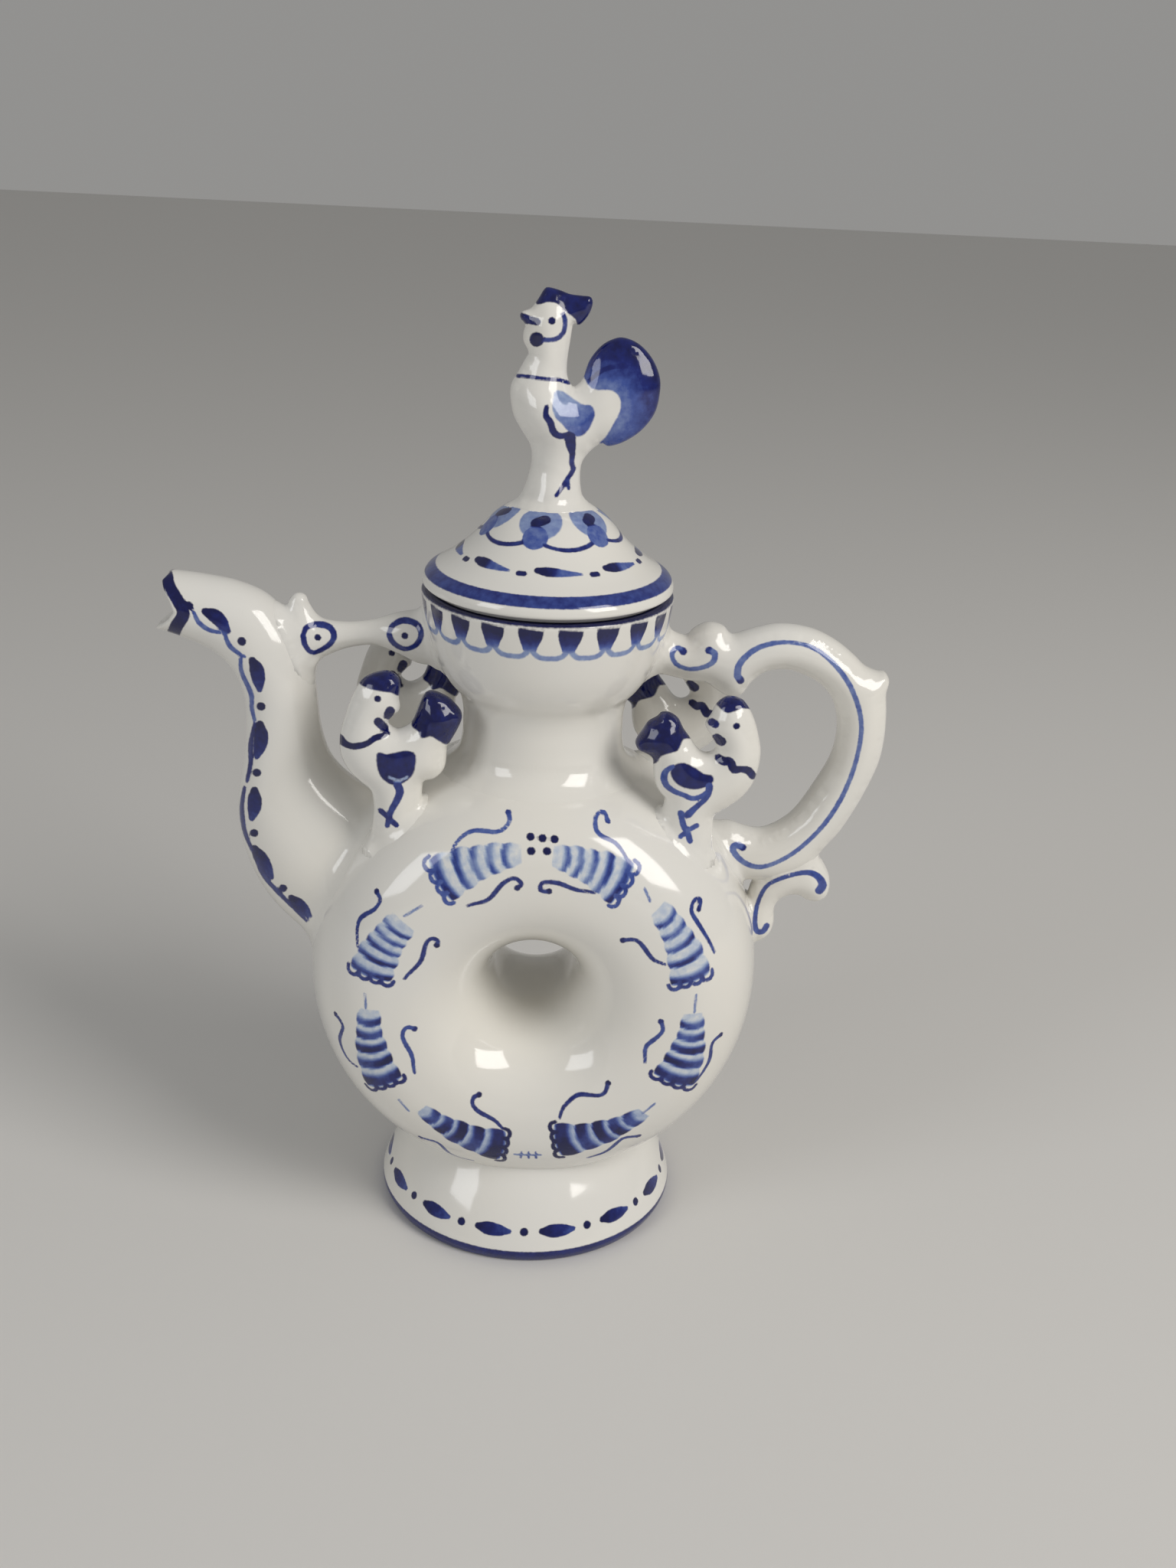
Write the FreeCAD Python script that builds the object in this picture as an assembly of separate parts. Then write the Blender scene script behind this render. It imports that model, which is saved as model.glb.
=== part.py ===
import FreeCAD, Part
import math
import os

# Ring-bodied porcelain teapot, in millimetres. +Z is up, the spout points to -X and the handle to +X.
# The pot is built about its own upright axis, then moved to set the origin under the middle of its length.

# Ring body: a hollow ring that stands on edge, its axis along Y
ring_radius = 49.0
ring_throat_radius = 9.0
ring_depth = 60.0
ring_fullness = 2.4
ring_centre_height = 60.5
ring_wall = 3.4

# Foot: a flared, hollow pedestal under the ring
foot_radius = 33.7
foot_stand_radius = 32.6
foot_edge_height = 2.4
foot_top_radius = 25.0
foot_wall = 4.0
foot_bulge = 1.0

# Neck and collar on top of the ring
neck_base_radius = 22.0
neck_waist_radius = 17.0
neck_waist_rise = 4.5
collar_height = 30.0
collar_rim_radius = 26.0
collar_flare = 1.3
collar_wall = 3.0

# Lid: it rests on the collar's rim, and its flange drops into the collar
lid_radius = 26.4
lid_height = 18.4
lid_rim_height = 4.2
lid_wall = 3.0
lid_flange_depth = 5.0
lid_clearance = 0.8

# Rooster on the lid
rooster_height = 42.0
rooster_base_radius = 6.8
rooster_tail_thickness = 7.0
rooster_comb_thickness = 4.0

# Spout: reach is measured from the pot's upright axis
spout_reach = 80.0
spout_lip_height = 138.5
spout_root_angle = 155.0
spout_wall = 2.8
spout_hole_radius = 8.0
spout_mouth_depth = 5.2

# Bridge from the spout to the collar
bridge_rise = 23.0
bridge_half_height = 3.0
bridge_end_half_height = 5.6
bridge_knob_radius = 2.0
bridge_knob_rise = 9.0

# Handle: reach is measured from the pot's upright axis to the tip of the spur
handle_reach = 72.6
handle_width = 10.2
handle_depth = 11.0
handle_top_rise = 32.4
handle_root_angle = 33.0
handle_boss_radius = 4.6
handle_nose_radius = 4.4
handle_spur_length = 5.0

# Bracket under the handle
bracket_width = 8.4
bracket_depth = 9.0
bracket_root_angle = 8.0
bracket_drop = 4.0

# Birds on the ring's shoulders
bird_height = 32.4
bird_length = 24.8
bird_thickness = 9.0
bird_offset_x = 30.0
bird_offset_y = 14.5

# Depth by which an attached piece is first run into the piece that carries it, before it is cut to fit
embed = 6.0

ring_tube_radial = (ring_radius - ring_throat_radius) / 2
ring_tube_axial = ring_depth / 2
ring_tube_centre = ring_radius - ring_tube_radial
ring_top_height = ring_centre_height + ring_radius
neck_waist_height = ring_top_height + neck_waist_rise
collar_rim_height = neck_waist_height + collar_height
collar_flare_height = 0.25 * collar_height
lid_top_height = collar_rim_height + lid_height
ring_centre = FreeCAD.Vector(0, 0, ring_centre_height)
along_y = FreeCAD.Vector(0, 1, 0)
along_z = FreeCAD.Vector(0, 0, 1)
axis_shift = (spout_reach - handle_reach) / 2


def in_plane(x, z):
    """A point of the pot's middle plane, which holds the spout and the handle."""
    return FreeCAD.Vector(x, 0, z)


def line(start, end):
    return Part.LineSegment(start, end).toShape()


def smooth(points, first=None, last=None):
    """A curve through the points, with given directions at its ends where they matter."""
    curve = Part.BSplineCurve()
    if first is None:
        curve.interpolate(points)
    else:
        curve.interpolate(Points=points, InitialTangent=first, FinalTangent=last)
    return curve.toShape()


def closed_face(edges):
    return Part.Face(Part.Wire(edges))


def turned(edges):
    """The solid that a profile sweeps about the pot's upright axis."""
    return closed_face(edges).revolve(FreeCAD.Vector(), along_z, 360)


def power(value, exponent):
    return math.copysign(abs(value) ** exponent, value)


def tube_point(angle, inset, side):
    """A point of the ring's section, from angle 0 outside to 180 in the throat; side -1 is the front."""
    turn = math.radians(angle)
    radial = (ring_tube_radial - inset) * power(math.cos(turn), 2 / ring_fullness)
    axial = (ring_tube_axial - inset) * power(math.sin(turn), 2 / ring_fullness)
    return FreeCAD.Vector(0, side * axial, ring_centre_height + ring_tube_centre + radial)


def tube_curve(inset, side):
    points = [tube_point(15 * step, inset, side) for step in range(13)]
    return smooth(points, along_y * side, along_y * -side)


def about_ring_axis(edges):
    return closed_face(edges).revolve(ring_centre, along_y, 360)


def ring_outside():
    """The ring filled up, which every piece on it is cut to fit."""
    return about_ring_axis([tube_curve(0, -1), tube_curve(0, 1)])


def ring_half(side):
    outer = tube_curve(0, side)
    inner = tube_curve(ring_wall, side)
    equator = line(tube_point(0, 0, side), tube_point(0, ring_wall, side))
    throat = line(tube_point(180, 0, side), tube_point(180, ring_wall, side))
    return about_ring_axis([outer, throat, inner, equator])


def foot_solid():
    top_height = ring_centre_height - math.sqrt(ring_radius ** 2 - foot_top_radius ** 2)
    stand = in_plane(foot_stand_radius, 0)
    edge = in_plane(foot_radius, foot_edge_height)
    top = in_plane(foot_top_radius, top_height)
    slope = top - edge
    outward = in_plane(slope.z, -slope.x).normalize()
    belly = (edge + top) * 0.5 + outward * foot_bulge
    upper = in_plane(foot_top_radius, top_height + embed)
    inner_upper = in_plane(foot_top_radius - foot_wall, top_height + embed)
    inner_stand = in_plane(foot_stand_radius - foot_wall, 0)
    return turned([
        line(stand, edge),
        Part.Arc(edge, belly, top).toShape(),
        line(top, upper),
        line(upper, inner_upper),
        line(inner_upper, inner_stand),
        line(inner_stand, stand),
    ])


def collar_curve(inset):
    """The neck and collar's outline from the ring up to the rim."""
    belly = neck_waist_radius + 0.55 * (collar_rim_radius - neck_waist_radius)
    base_height = ring_centre_height + math.sqrt(ring_radius ** 2 - neck_base_radius ** 2)
    points = [
        in_plane(neck_base_radius - inset, base_height - embed / 4),
        in_plane(neck_waist_radius - inset, neck_waist_height),
        in_plane(neck_waist_radius + 0.8 - inset, neck_waist_height + 0.2 * collar_height),
        in_plane(belly - inset, neck_waist_height + 0.42 * collar_height),
        in_plane(collar_rim_radius - collar_flare - inset, collar_rim_height - collar_flare_height),
        in_plane(collar_rim_radius - inset, collar_rim_height),
    ]
    return smooth(points), points[0], points[-1]


def collar_solid(inset):
    """The neck and collar filled up, as far in as the inset."""
    curve, low, high = collar_curve(inset)
    axis_high = in_plane(0, high.z)
    axis_low = in_plane(0, low.z - embed)
    low_end = in_plane(low.x, low.z - embed)
    corners = [high, axis_high, axis_low, low_end, low]
    return turned([curve] + [line(start, end) for start, end in zip(corners, corners[1:])])


def neck_bore():
    """The way from the collar's cup down into the ring."""
    radius = neck_waist_radius - collar_wall
    bottom = ring_centre_height + ring_tube_centre
    return Part.makeCylinder(radius, neck_waist_height - bottom, in_plane(0, bottom))


def lid_solid():
    seat = collar_rim_height
    flange_radius = collar_rim_radius - collar_wall - lid_clearance
    flange_low_radius = flange_radius - collar_flare * lid_flange_depth / collar_flare_height
    flange_inner = flange_low_radius - lid_wall
    rim_top = seat + lid_rim_height
    edge_low = in_plane(lid_radius - 0.6, seat)
    edge_mid = in_plane(lid_radius, seat + 0.5 * lid_rim_height)
    edge_high = in_plane(lid_radius - 1.2, rim_top)
    dome = [
        edge_high,
        in_plane(0.68 * lid_radius, seat + 0.5 * lid_height),
        in_plane(0.4 * lid_radius, seat + 0.87 * lid_height),
        in_plane(0, lid_top_height),
    ]
    hollow = [
        in_plane(0, lid_top_height - lid_wall),
        in_plane(0.34 * lid_radius, seat + 0.87 * lid_height - lid_wall),
        in_plane(0.58 * lid_radius, seat + 0.5 * lid_height - lid_wall),
        in_plane(flange_inner, seat - 0.2 * lid_flange_depth),
    ]
    flange_low = seat - lid_flange_depth
    corners = [
        in_plane(flange_inner, flange_low),
        in_plane(flange_low_radius, flange_low),
        in_plane(flange_radius, seat),
        edge_low,
    ]
    return turned([
        Part.Arc(edge_low, edge_mid, edge_high).toShape(),
        smooth(dome),
        line(dome[-1], hollow[0]),
        smooth(hollow),
        line(hollow[-1], corners[0]),
        line(corners[0], corners[1]),
        line(corners[1], corners[2]),
        line(corners[2], corners[3]),
    ])


def oval(centre, direction, half_height, half_depth):
    """An oval across a direction of the middle plane, half_depth wide to the front and to the back."""
    across = direction.cross(along_y).normalize()
    count = 12
    points = []
    for step in range(count):
        turn = 2 * math.pi * step / count
        outward = along_y * (half_depth * math.cos(turn)) + across * (half_height * math.sin(turn))
        points.append(centre + outward)
    curve = Part.BSplineCurve()
    curve.interpolate(Points=points, PeriodicFlag=True)
    return Part.Wire(curve.toShape())


def path_directions(centres):
    path = Part.BSplineCurve()
    path.interpolate(centres)
    return [path.tangent(path.parameter(centre))[0] for centre in centres]


def lofted(sections):
    """A smooth solid through the sections, of third degree so that it doesn't swing out between them."""
    return Part.makeLoft(sections, True, False, False, 3)


def swept(centres, half_heights, half_depths):
    """A solid through ovals that stand across the path of their centres."""
    sections = []
    for centre, direction, height, depth in zip(centres, path_directions(centres), half_heights, half_depths):
        sections.append(oval(centre, direction, height, depth))
    return lofted(sections)


def on_ring(angle, depth):
    """A point of the middle plane at an angle round the ring from +X, that far below its outside."""
    turn = math.radians(angle)
    reach = ring_radius - depth
    return in_plane(reach * math.cos(turn), ring_centre_height + reach * math.sin(turn))


def between(start, end, along_x, along_height):
    return in_plane(start.x + along_x * (end.x - start.x), start.z + along_height * (end.z - start.z))


def spout_centres():
    inside = on_ring(spout_root_angle, 2 * embed + ring_wall)
    root = on_ring(spout_root_angle, 2)
    lip = in_plane(-spout_reach, spout_lip_height)
    rising_bends = [(0.27, 0.21), (0.33, 0.39), (0.325, 0.57), (0.35, 0.73)]
    beak_bends = [(0.44, 0.86), (0.62, 0.95), (0.81, 0.98)]
    stem = [between(root, lip, *bend) for bend in rising_bends + beak_bends]
    return [inside, root] + stem + [between(root, lip, 1.04, 1.0)]


spout_half_heights = [18.0, 17.5, 13.6, 10.4, 8.0, 7.9, 8.3, 7.9, 7.1, 6.5]
spout_half_depths = [14.0, 13.8, 12.0, 9.8, 8.0, 7.8, 7.8, 7.2, 6.6, 6.2]


def spout_outside():
    return swept(spout_centres(), spout_half_heights, spout_half_depths)


def spout_channel():
    heights = [min(size - spout_wall, spout_hole_radius) for size in spout_half_heights]
    depths = [min(size - spout_wall, spout_hole_radius) for size in spout_half_depths]
    return swept(spout_centres(), heights, depths)


def spout_mouth():
    """What is cut from the spout's end to leave an open beak, with its lower lip further out."""
    lower = in_plane(-spout_reach, spout_lip_height - 5.8)
    corner = in_plane(-spout_reach + spout_mouth_depth, spout_lip_height - 1.2)
    upper = in_plane(-spout_reach + 2.4, spout_lip_height + 5.5)
    clear = 3 * embed
    above = in_plane(upper.x, upper.z + clear)
    far_above = in_plane(lower.x - clear, upper.z + clear)
    below = in_plane(lower.x, lower.z - clear)
    far_below = in_plane(lower.x - clear, lower.z - clear)
    face = closed_face([
        Part.Arc(lower, corner, upper).toShape(),
        line(upper, above),
        line(above, far_above),
        line(far_above, far_below),
        line(far_below, below),
        line(below, lower),
    ])
    face.translate(along_y * -clear)
    return face.extrude(along_y * (2 * clear))


def bridge_solid():
    height = ring_top_height + bridge_rise
    stem = spout_centres()[5]
    rim = -collar_rim_radius
    start = in_plane(stem.x + 3, height - 1)
    end = in_plane(rim + embed, height - 1)
    centres = [
        start,
        between(start, end, 0.28, 0) + in_plane(0, 0.4),
        between(start, end, 0.52, 0) + in_plane(0, 1.2),
        between(start, end, 0.74, 0) + in_plane(0, 0.9),
        end,
    ]
    ends = bridge_end_half_height
    middle = bridge_half_height
    heights = [ends, 1.25 * middle, middle, 1.25 * middle, ends]
    bar = swept(centres, heights, [0.9 * size for size in heights])
    root = in_plane(start.x + 2.2, height)
    rise = bridge_knob_rise - bridge_knob_radius
    stalk = Part.makeCone(1.9 * bridge_knob_radius, bridge_knob_radius, rise, root)
    tip = Part.makeSphere(bridge_knob_radius, root + along_z * rise)
    return bar.fuse([stalk, tip]).removeSplitter()


def handle_centres():
    top = in_plane(collar_rim_radius, ring_top_height + handle_top_rise - handle_width)
    foot = on_ring(handle_root_angle, 0)
    side = handle_reach - handle_spur_length
    corner = in_plane(side, foot.z)
    upper_bends = [(0.36, 0.98), (0.58, 1.05), (0.82, 0.99), (0.97, 0.82)]
    lower_bends = [(1.0, 0.64), (0.95, 0.41), (0.81, 0.17), (0.6, 0.02)]
    level = in_plane(top.x, foot.z)
    arch = [between(level, in_plane(corner.x, top.z), *bend) for bend in upper_bends + lower_bends]
    start = in_plane(collar_rim_radius - embed, top.z)
    landing = between(level, corner, 0.42, 0)
    return [start, in_plane(top.x + 4, top.z)] + arch + [landing, on_ring(handle_root_angle, embed)]


def handle_solid():
    centres = handle_centres()
    heights = [handle_width / 2] * len(centres)
    depths = [handle_depth / 2] * len(centres)
    arch = swept(centres, heights, depths)
    boss = Part.makeSphere(handle_boss_radius, centres[1] + in_plane(3.6, 2.4))
    nose = Part.makeSphere(handle_nose_radius, centres[2] + in_plane(-1.2, -3.6))
    shoulder = centres[5]
    outward = in_plane(math.cos(math.radians(12)), math.sin(math.radians(12)))
    spur_root = handle_width / 2
    spur_length = handle_reach - shoulder.x - 1
    spur = Part.makeCone(spur_root * 0.8, 1.0, spur_length, shoulder + in_plane(1, 1.5), outward)
    return arch.fuse([boss, nose, spur]).removeSplitter()


def bracket_solid():
    """An S-shaped scroll from a round lobe under the handle down to the ring."""
    lobe = handle_centres()[-4] + in_plane(1.0, -handle_width - bracket_drop)
    root = on_ring(bracket_root_angle, 0)
    half = bracket_width / 2
    centres = [
        lobe + in_plane(0.94 * half, 0.2 * half),
        lobe + in_plane(0.6 * half, 0.1 * half),
        lobe,
        between(lobe, root, 0.36, 0.06),
        between(lobe, root, 0.7, 0.3),
        between(lobe, root, 0.88, 0.68),
        on_ring(bracket_root_angle, half),
    ]
    shares = [0.3, 0.8, 1.0, 1.0, 1.0, 1.0, 1.0]
    heights = [half * share for share in shares]
    depths = [bracket_depth / 2 * share for share in shares]
    return swept(centres, heights, depths)


def stacked(base, stations, size):
    """A solid through level ovals; place along, height, half length and half depth are shares of a size."""
    sections = []
    for along, up, half_length, half_depth in stations:
        centre = base + in_plane(along * size.x, up * size.z)
        sections.append(oval(centre, along_z, half_length * size.x, half_depth * size.y))
    return lofted(sections)


# The stations of a bird are shares of its length, height, length and thickness
bird_trunk = [
    (0.0161, -0.3086, 0.2500, 0.5000),
    (0.0161, -0.1543, 0.2339, 0.5000),
    (0.0242, 0.0154, 0.2097, 0.4778),
    (0.0242, 0.1543, 0.2177, 0.4778),
    (0.0081, 0.2994, 0.3306, 0.5000),
    (-0.0081, 0.4383, 0.4315, 0.5000),
    (-0.0121, 0.5556, 0.4113, 0.4111),
    (0.0000, 0.6358, 0.3306, 0.2222),
]
bird_head = [
    (-0.2258, 0.3241, 0.1371, 0.2222),
    (-0.2460, 0.5710, 0.1935, 0.4333),
    (-0.2218, 0.7006, 0.1855, 0.4667),
    (-0.1694, 0.8241, 0.1895, 0.4667),
    (-0.1452, 0.9290, 0.1613, 0.4222),
    (-0.1331, 1.0000, 0.0887, 0.2444),
]
bird_tail = [
    (0.2419, 0.3241, 0.1129, 0.2000),
    (0.2863, 0.5617, 0.1613, 0.3889),
    (0.3468, 0.7006, 0.1935, 0.4222),
    (0.3589, 0.7932, 0.1774, 0.3889),
    (0.3508, 0.8735, 0.0968, 0.2444),
]


def bird_solid():
    """A bird that looks inwards over its own tail, with its leg run down into the ring."""
    size = FreeCAD.Vector(bird_length, bird_thickness, bird_height)
    trunk, head, tail = [
        stacked(FreeCAD.Vector(), stations, size) for stations in (bird_trunk, bird_head, bird_tail)
    ]
    beak_root = in_plane(-0.097 * bird_length, 0.8 * bird_height)
    beak_radius = 0.29 * bird_thickness
    beak_tip_radius = 0.09 * bird_thickness
    beak_length = 0.137 * bird_length
    beak_way = FreeCAD.Vector(1, 0, -0.15)
    beak = Part.makeCone(beak_radius, beak_tip_radius, beak_length, beak_root, beak_way)
    return trunk.fuse([head, tail, beak]).removeSplitter()


def bird_at(side_x, side_y):
    reach = ring_tube_centre + ring_tube_radial * (
        1 - (bird_offset_y / ring_tube_axial) ** ring_fullness
    ) ** (1 / ring_fullness)
    stand = ring_centre_height + math.sqrt(reach ** 2 - bird_offset_x ** 2)
    bird = bird_solid()
    if side_x > 0:
        bird = bird.mirror(FreeCAD.Vector(), FreeCAD.Vector(1, 0, 0))
    bird.translate(FreeCAD.Vector(side_x * bird_offset_x, side_y * bird_offset_y, stand))
    return bird


# The rooster's are shares of its height, and their half depths of the base's radius or the piece's thickness
rooster_body = [
    (0.0024, -0.0238, 0.1619, 1.0000),
    (0.0048, 0.0143, 0.1524, 0.9412),
    (0.0095, 0.1095, 0.1238, 0.7059),
    (0.0190, 0.2143, 0.1190, 0.6618),
    (0.0238, 0.3000, 0.1571, 0.8529),
    (0.0143, 0.4048, 0.2143, 1.1176),
    (-0.0143, 0.5000, 0.1952, 1.0588),
    (-0.0524, 0.5857, 0.1333, 0.7353),
    (-0.0476, 0.6762, 0.0976, 0.5588),
    (-0.0476, 0.7714, 0.1119, 0.6029),
    (-0.0357, 0.8476, 0.1119, 0.6029),
    (-0.0214, 0.9143, 0.0810, 0.4412),
]
rooster_tail = [
    (0.2738, 0.2810, 0.0571, 0.2571),
    (0.2833, 0.3238, 0.1381, 0.5000),
    (0.2952, 0.4286, 0.1833, 0.5000),
    (0.3000, 0.5476, 0.1881, 0.5000),
    (0.2952, 0.6667, 0.1571, 0.5000),
    (0.2905, 0.7571, 0.0667, 0.2571),
]
rooster_comb = [
    (-0.0905, 0.9190, 0.0333, 0.3000),
    (-0.0524, 0.9333, 0.0524, 0.5000),
    (0.0357, 0.9190, 0.0571, 0.5000),
    (0.1095, 0.8952, 0.0714, 0.5000),
    (0.1524, 0.9000, 0.0429, 0.3000),
]


def rooster_solid():
    """A standing rooster that looks towards the spout: a turned-looking body, a round tail and a comb."""
    height = rooster_height
    base = in_plane(0, lid_top_height)
    body = stacked(base, rooster_body, FreeCAD.Vector(height, rooster_base_radius, height))
    tail = stacked(base, rooster_tail, FreeCAD.Vector(height, rooster_tail_thickness, height))
    comb_path = [base + in_plane(along, up) * height for along, up, half_length, half_depth in rooster_comb]
    comb_heights = [half_length * height for along, up, half_length, half_depth in rooster_comb]
    comb_depths = [half_depth * rooster_comb_thickness for along, up, half_length, half_depth in rooster_comb]
    comb = swept(comb_path, comb_heights, comb_depths)
    beak_root = base + in_plane(-0.1, 0.867) * height
    beak = Part.makeCone(0.057 * height, 0.017 * height, 0.081 * height, beak_root, FreeCAD.Vector(-1, 0, 0))
    return body.fuse([tail, comb, beak]).removeSplitter()


ring = ring_outside()
collar = collar_solid(0)
bore = neck_bore()
channel = spout_channel()
spout_full = spout_outside()
handle_full = handle_solid()
neck = collar.cut(collar_solid(collar_wall)).cut(ring)
lid = lid_solid()

pieces = {
    "body_front": ring_half(-1).cut(bore).cut(channel),
    "body_back": ring_half(1).cut(bore).cut(channel),
    "foot": foot_solid().cut(ring),
    "neck_collar": neck,
    "spout": spout_full.cut(ring).cut(channel).cut(spout_mouth()),
    "spout_bridge": bridge_solid().cut(collar).cut(spout_full),
    "handle": handle_full.cut(collar).cut(ring),
    "handle_bracket": bracket_solid().cut(ring).cut(handle_full),
    "bird_front_left": bird_at(-1, -1).cut(ring).cut(collar),
    "bird_front_right": bird_at(1, -1).cut(ring).cut(collar),
    "bird_back_left": bird_at(-1, 1).cut(ring).cut(collar),
    "bird_back_right": bird_at(1, 1).cut(ring).cut(collar),
    "lid": lid,
    "rooster": rooster_solid().cut(lid),
}

os.makedirs("parts", exist_ok=True)
for name, shape in pieces.items():
    shape.translate(FreeCAD.Vector(axis_shift, 0, 0))
    box = shape.optimalBoundingBox()
    print(name, len(shape.Solids), "solid,", round(shape.Volume), "mm3, valid", shape.isValid(), box)
    shape.exportStep("parts/" + name + ".step")
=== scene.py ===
import bpy
import math
import numpy as np
from mathutils import Matrix, Vector
from mathutils.bvhtree import BVHTree
from mathutils.geometry import delaunay_2d_cdt


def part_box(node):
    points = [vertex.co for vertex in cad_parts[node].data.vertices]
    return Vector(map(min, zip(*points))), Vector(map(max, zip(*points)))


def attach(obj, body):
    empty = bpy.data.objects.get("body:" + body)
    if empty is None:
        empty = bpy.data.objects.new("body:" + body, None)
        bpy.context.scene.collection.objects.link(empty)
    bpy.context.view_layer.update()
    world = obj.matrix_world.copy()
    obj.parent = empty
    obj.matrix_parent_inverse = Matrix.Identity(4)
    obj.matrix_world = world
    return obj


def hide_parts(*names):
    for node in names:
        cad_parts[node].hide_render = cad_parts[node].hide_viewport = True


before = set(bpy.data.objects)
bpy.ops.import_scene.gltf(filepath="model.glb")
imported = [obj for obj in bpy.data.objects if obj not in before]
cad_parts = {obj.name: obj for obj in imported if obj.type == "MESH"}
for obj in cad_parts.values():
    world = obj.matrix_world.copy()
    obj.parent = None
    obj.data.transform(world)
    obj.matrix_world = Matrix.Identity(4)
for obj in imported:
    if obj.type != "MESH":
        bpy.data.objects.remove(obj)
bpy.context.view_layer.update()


# Ring body: two press-moulded halves of white porcelain, luted together on the middle plane into a hollow ring that
# stands on edge. Each face carries a wreath of eight striped segments with curls, painted in cobalt under the glaze.
MM = 0.001
foot_low, foot_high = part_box("foot")
pot_axis = (foot_low.x + foot_high.x) / 2
ring_centre_height = 60.5
ring_middle = 29.0
ring_half_radial = 20.0
ring_half_depth = 30.0
ring_fullness = 2.4
ring_wall = 3.4
ring_turns = 420
ring_step = 0.56
ring_inner_step = 4.0
neck_bore_radius = 14
neck_bore_low, neck_bore_high = 85, 118
# The brushwork was laid on from the front: from this far off and this high up, in millimetres.
eye_distance = 335.0
eye_height = 241.0


class Wire:
    """A shader socket that can be used in Python sums; every sum adds a Math node."""

    def __init__(self, tree, socket):
        self.tree = tree
        self.socket = socket

    def node(self, kind, output=0, settings=None, **inputs):
        """Adds a node of that kind, with its settings and the values or wires of its inputs, and returns one output."""
        made = self.tree.nodes.new(kind)
        for name, value in (settings or {}).items():
            if name == "stops":
                for place, colour in value[2:]:
                    made.color_ramp.elements.new(place)
                for element, (place, colour) in zip(made.color_ramp.elements, value):
                    element.position = place
                    element.color = (*colour, 1)
            else:
                setattr(made, name, value)
        for name, value in inputs.items():
            key = int(name[1:]) if name[0] == "i" and name[1:].isdigit() else name.replace("_", " ")
            if isinstance(value, Wire):
                self.tree.links.new(value.socket, made.inputs[key])
            else:
                made.inputs[key].default_value = value
        return Wire(self.tree, made.outputs[output])

    def sum(self, operation, left, right):
        """One Math node."""
        return self.node("ShaderNodeMath", settings={"operation": operation}, i0=left, i1=right)

    def __add__(self, other):
        return self.sum("ADD", self, other)

    def __sub__(self, other):
        return self.sum("SUBTRACT", self, other)

    def __rsub__(self, other):
        return self.sum("SUBTRACT", other, self)

    def __mul__(self, other):
        return self.sum("MULTIPLY", self, other)

    __radd__ = __add__
    __rmul__ = __mul__

    def between(self, low, high):
        """0 below low, 1 above high, and a soft step in between."""
        return self.node(
            "ShaderNodeMapRange", settings={"interpolation_type": "SMOOTHSTEP"}, Value=self, From_Min=low, From_Max=high
        )


# The cobalt from its thinnest wash to a full brush, the white under it, and how softly each layer's strokes end.
cobalt = [
    (0.0, (0.74, 0.75, 0.74)),
    (0.14, (0.5, 0.57, 0.69)),
    (0.3, (0.27, 0.35, 0.56)),
    (0.6, (0.05, 0.09, 0.34)),
    (0.82, (0.007, 0.015, 0.15)),
    (1.0, (0.002, 0.004, 0.065)),
]
warm_white = (0.80, 0.78, 0.725, 1)
cool_white = (0.78, 0.77, 0.735, 1)
stroke_edges = {"wash": 0.22, "line": 0.16}
bristle_marks = 0.34
mottle_marks = 0.2
ragged = 0.22


def glazed_porcelain():
    """White body, two layers of cobalt brushwork read from the piece's own attributes, and a clear glaze on top."""
    material = bpy.data.materials.new("glazed_porcelain")
    material.use_nodes = True
    tree = material.node_tree
    shader = tree.nodes["Principled BSDF"]
    start = Wire(tree, None)
    place = start.node("ShaderNodeTexCoord", output=3)
    mottle = start.node("ShaderNodeTexNoise", Vector=place, Scale=26.0, Detail=3.0)
    grain = start.node("ShaderNodeTexNoise", Vector=place, Scale=1400.0, Detail=2.0)
    bristle = start.node("ShaderNodeTexNoise", Vector=place, Scale=700.0, Detail=3.0)
    colour = start.node(
        "ShaderNodeMix", output=2, settings={"data_type": "RGBA"},
        i0=mottle.between(0.3, 0.7), i6=warm_white, i7=cool_white,
    )
    for layer, edge in stroke_edges.items():
        depth = start.node("ShaderNodeAttribute", output=2, settings={"attribute_name": layer + "_depth"})
        tone = start.node("ShaderNodeAttribute", output=2, settings={"attribute_name": layer + "_tone"})
        worked = tone + (bristle - 0.5) * bristle_marks + (mottle - 0.5) * mottle_marks
        ink = start.node("ShaderNodeValToRGB", settings={"stops": cobalt}, Fac=worked)
        inside = (depth + (grain - 0.5) * ragged).between(-edge, edge)
        colour = start.node(
            "ShaderNodeMix", output=2, settings={"data_type": "RGBA"}, i0=inside, i6=colour, i7=ink
        )
    tree.links.new(colour.socket, shader.inputs["Base Color"])
    roughness = 0.07 + mottle * 0.06
    tree.links.new(roughness.socket, shader.inputs["Roughness"])
    ripple = start.node("ShaderNodeTexNoise", Vector=place, Scale=95.0, Detail=2.0)
    bump = start.node("ShaderNodeBump", Strength=0.12, Distance=0.0006, Height=ripple)
    tree.links.new(bump.socket, shader.inputs["Normal"])
    shader.inputs["IOR"].default_value = 1.52
    shader.inputs["Coat Weight"].default_value = 0.2
    shader.inputs["Coat Roughness"].default_value = 0.04
    return material


porcelain = glazed_porcelain()


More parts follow.
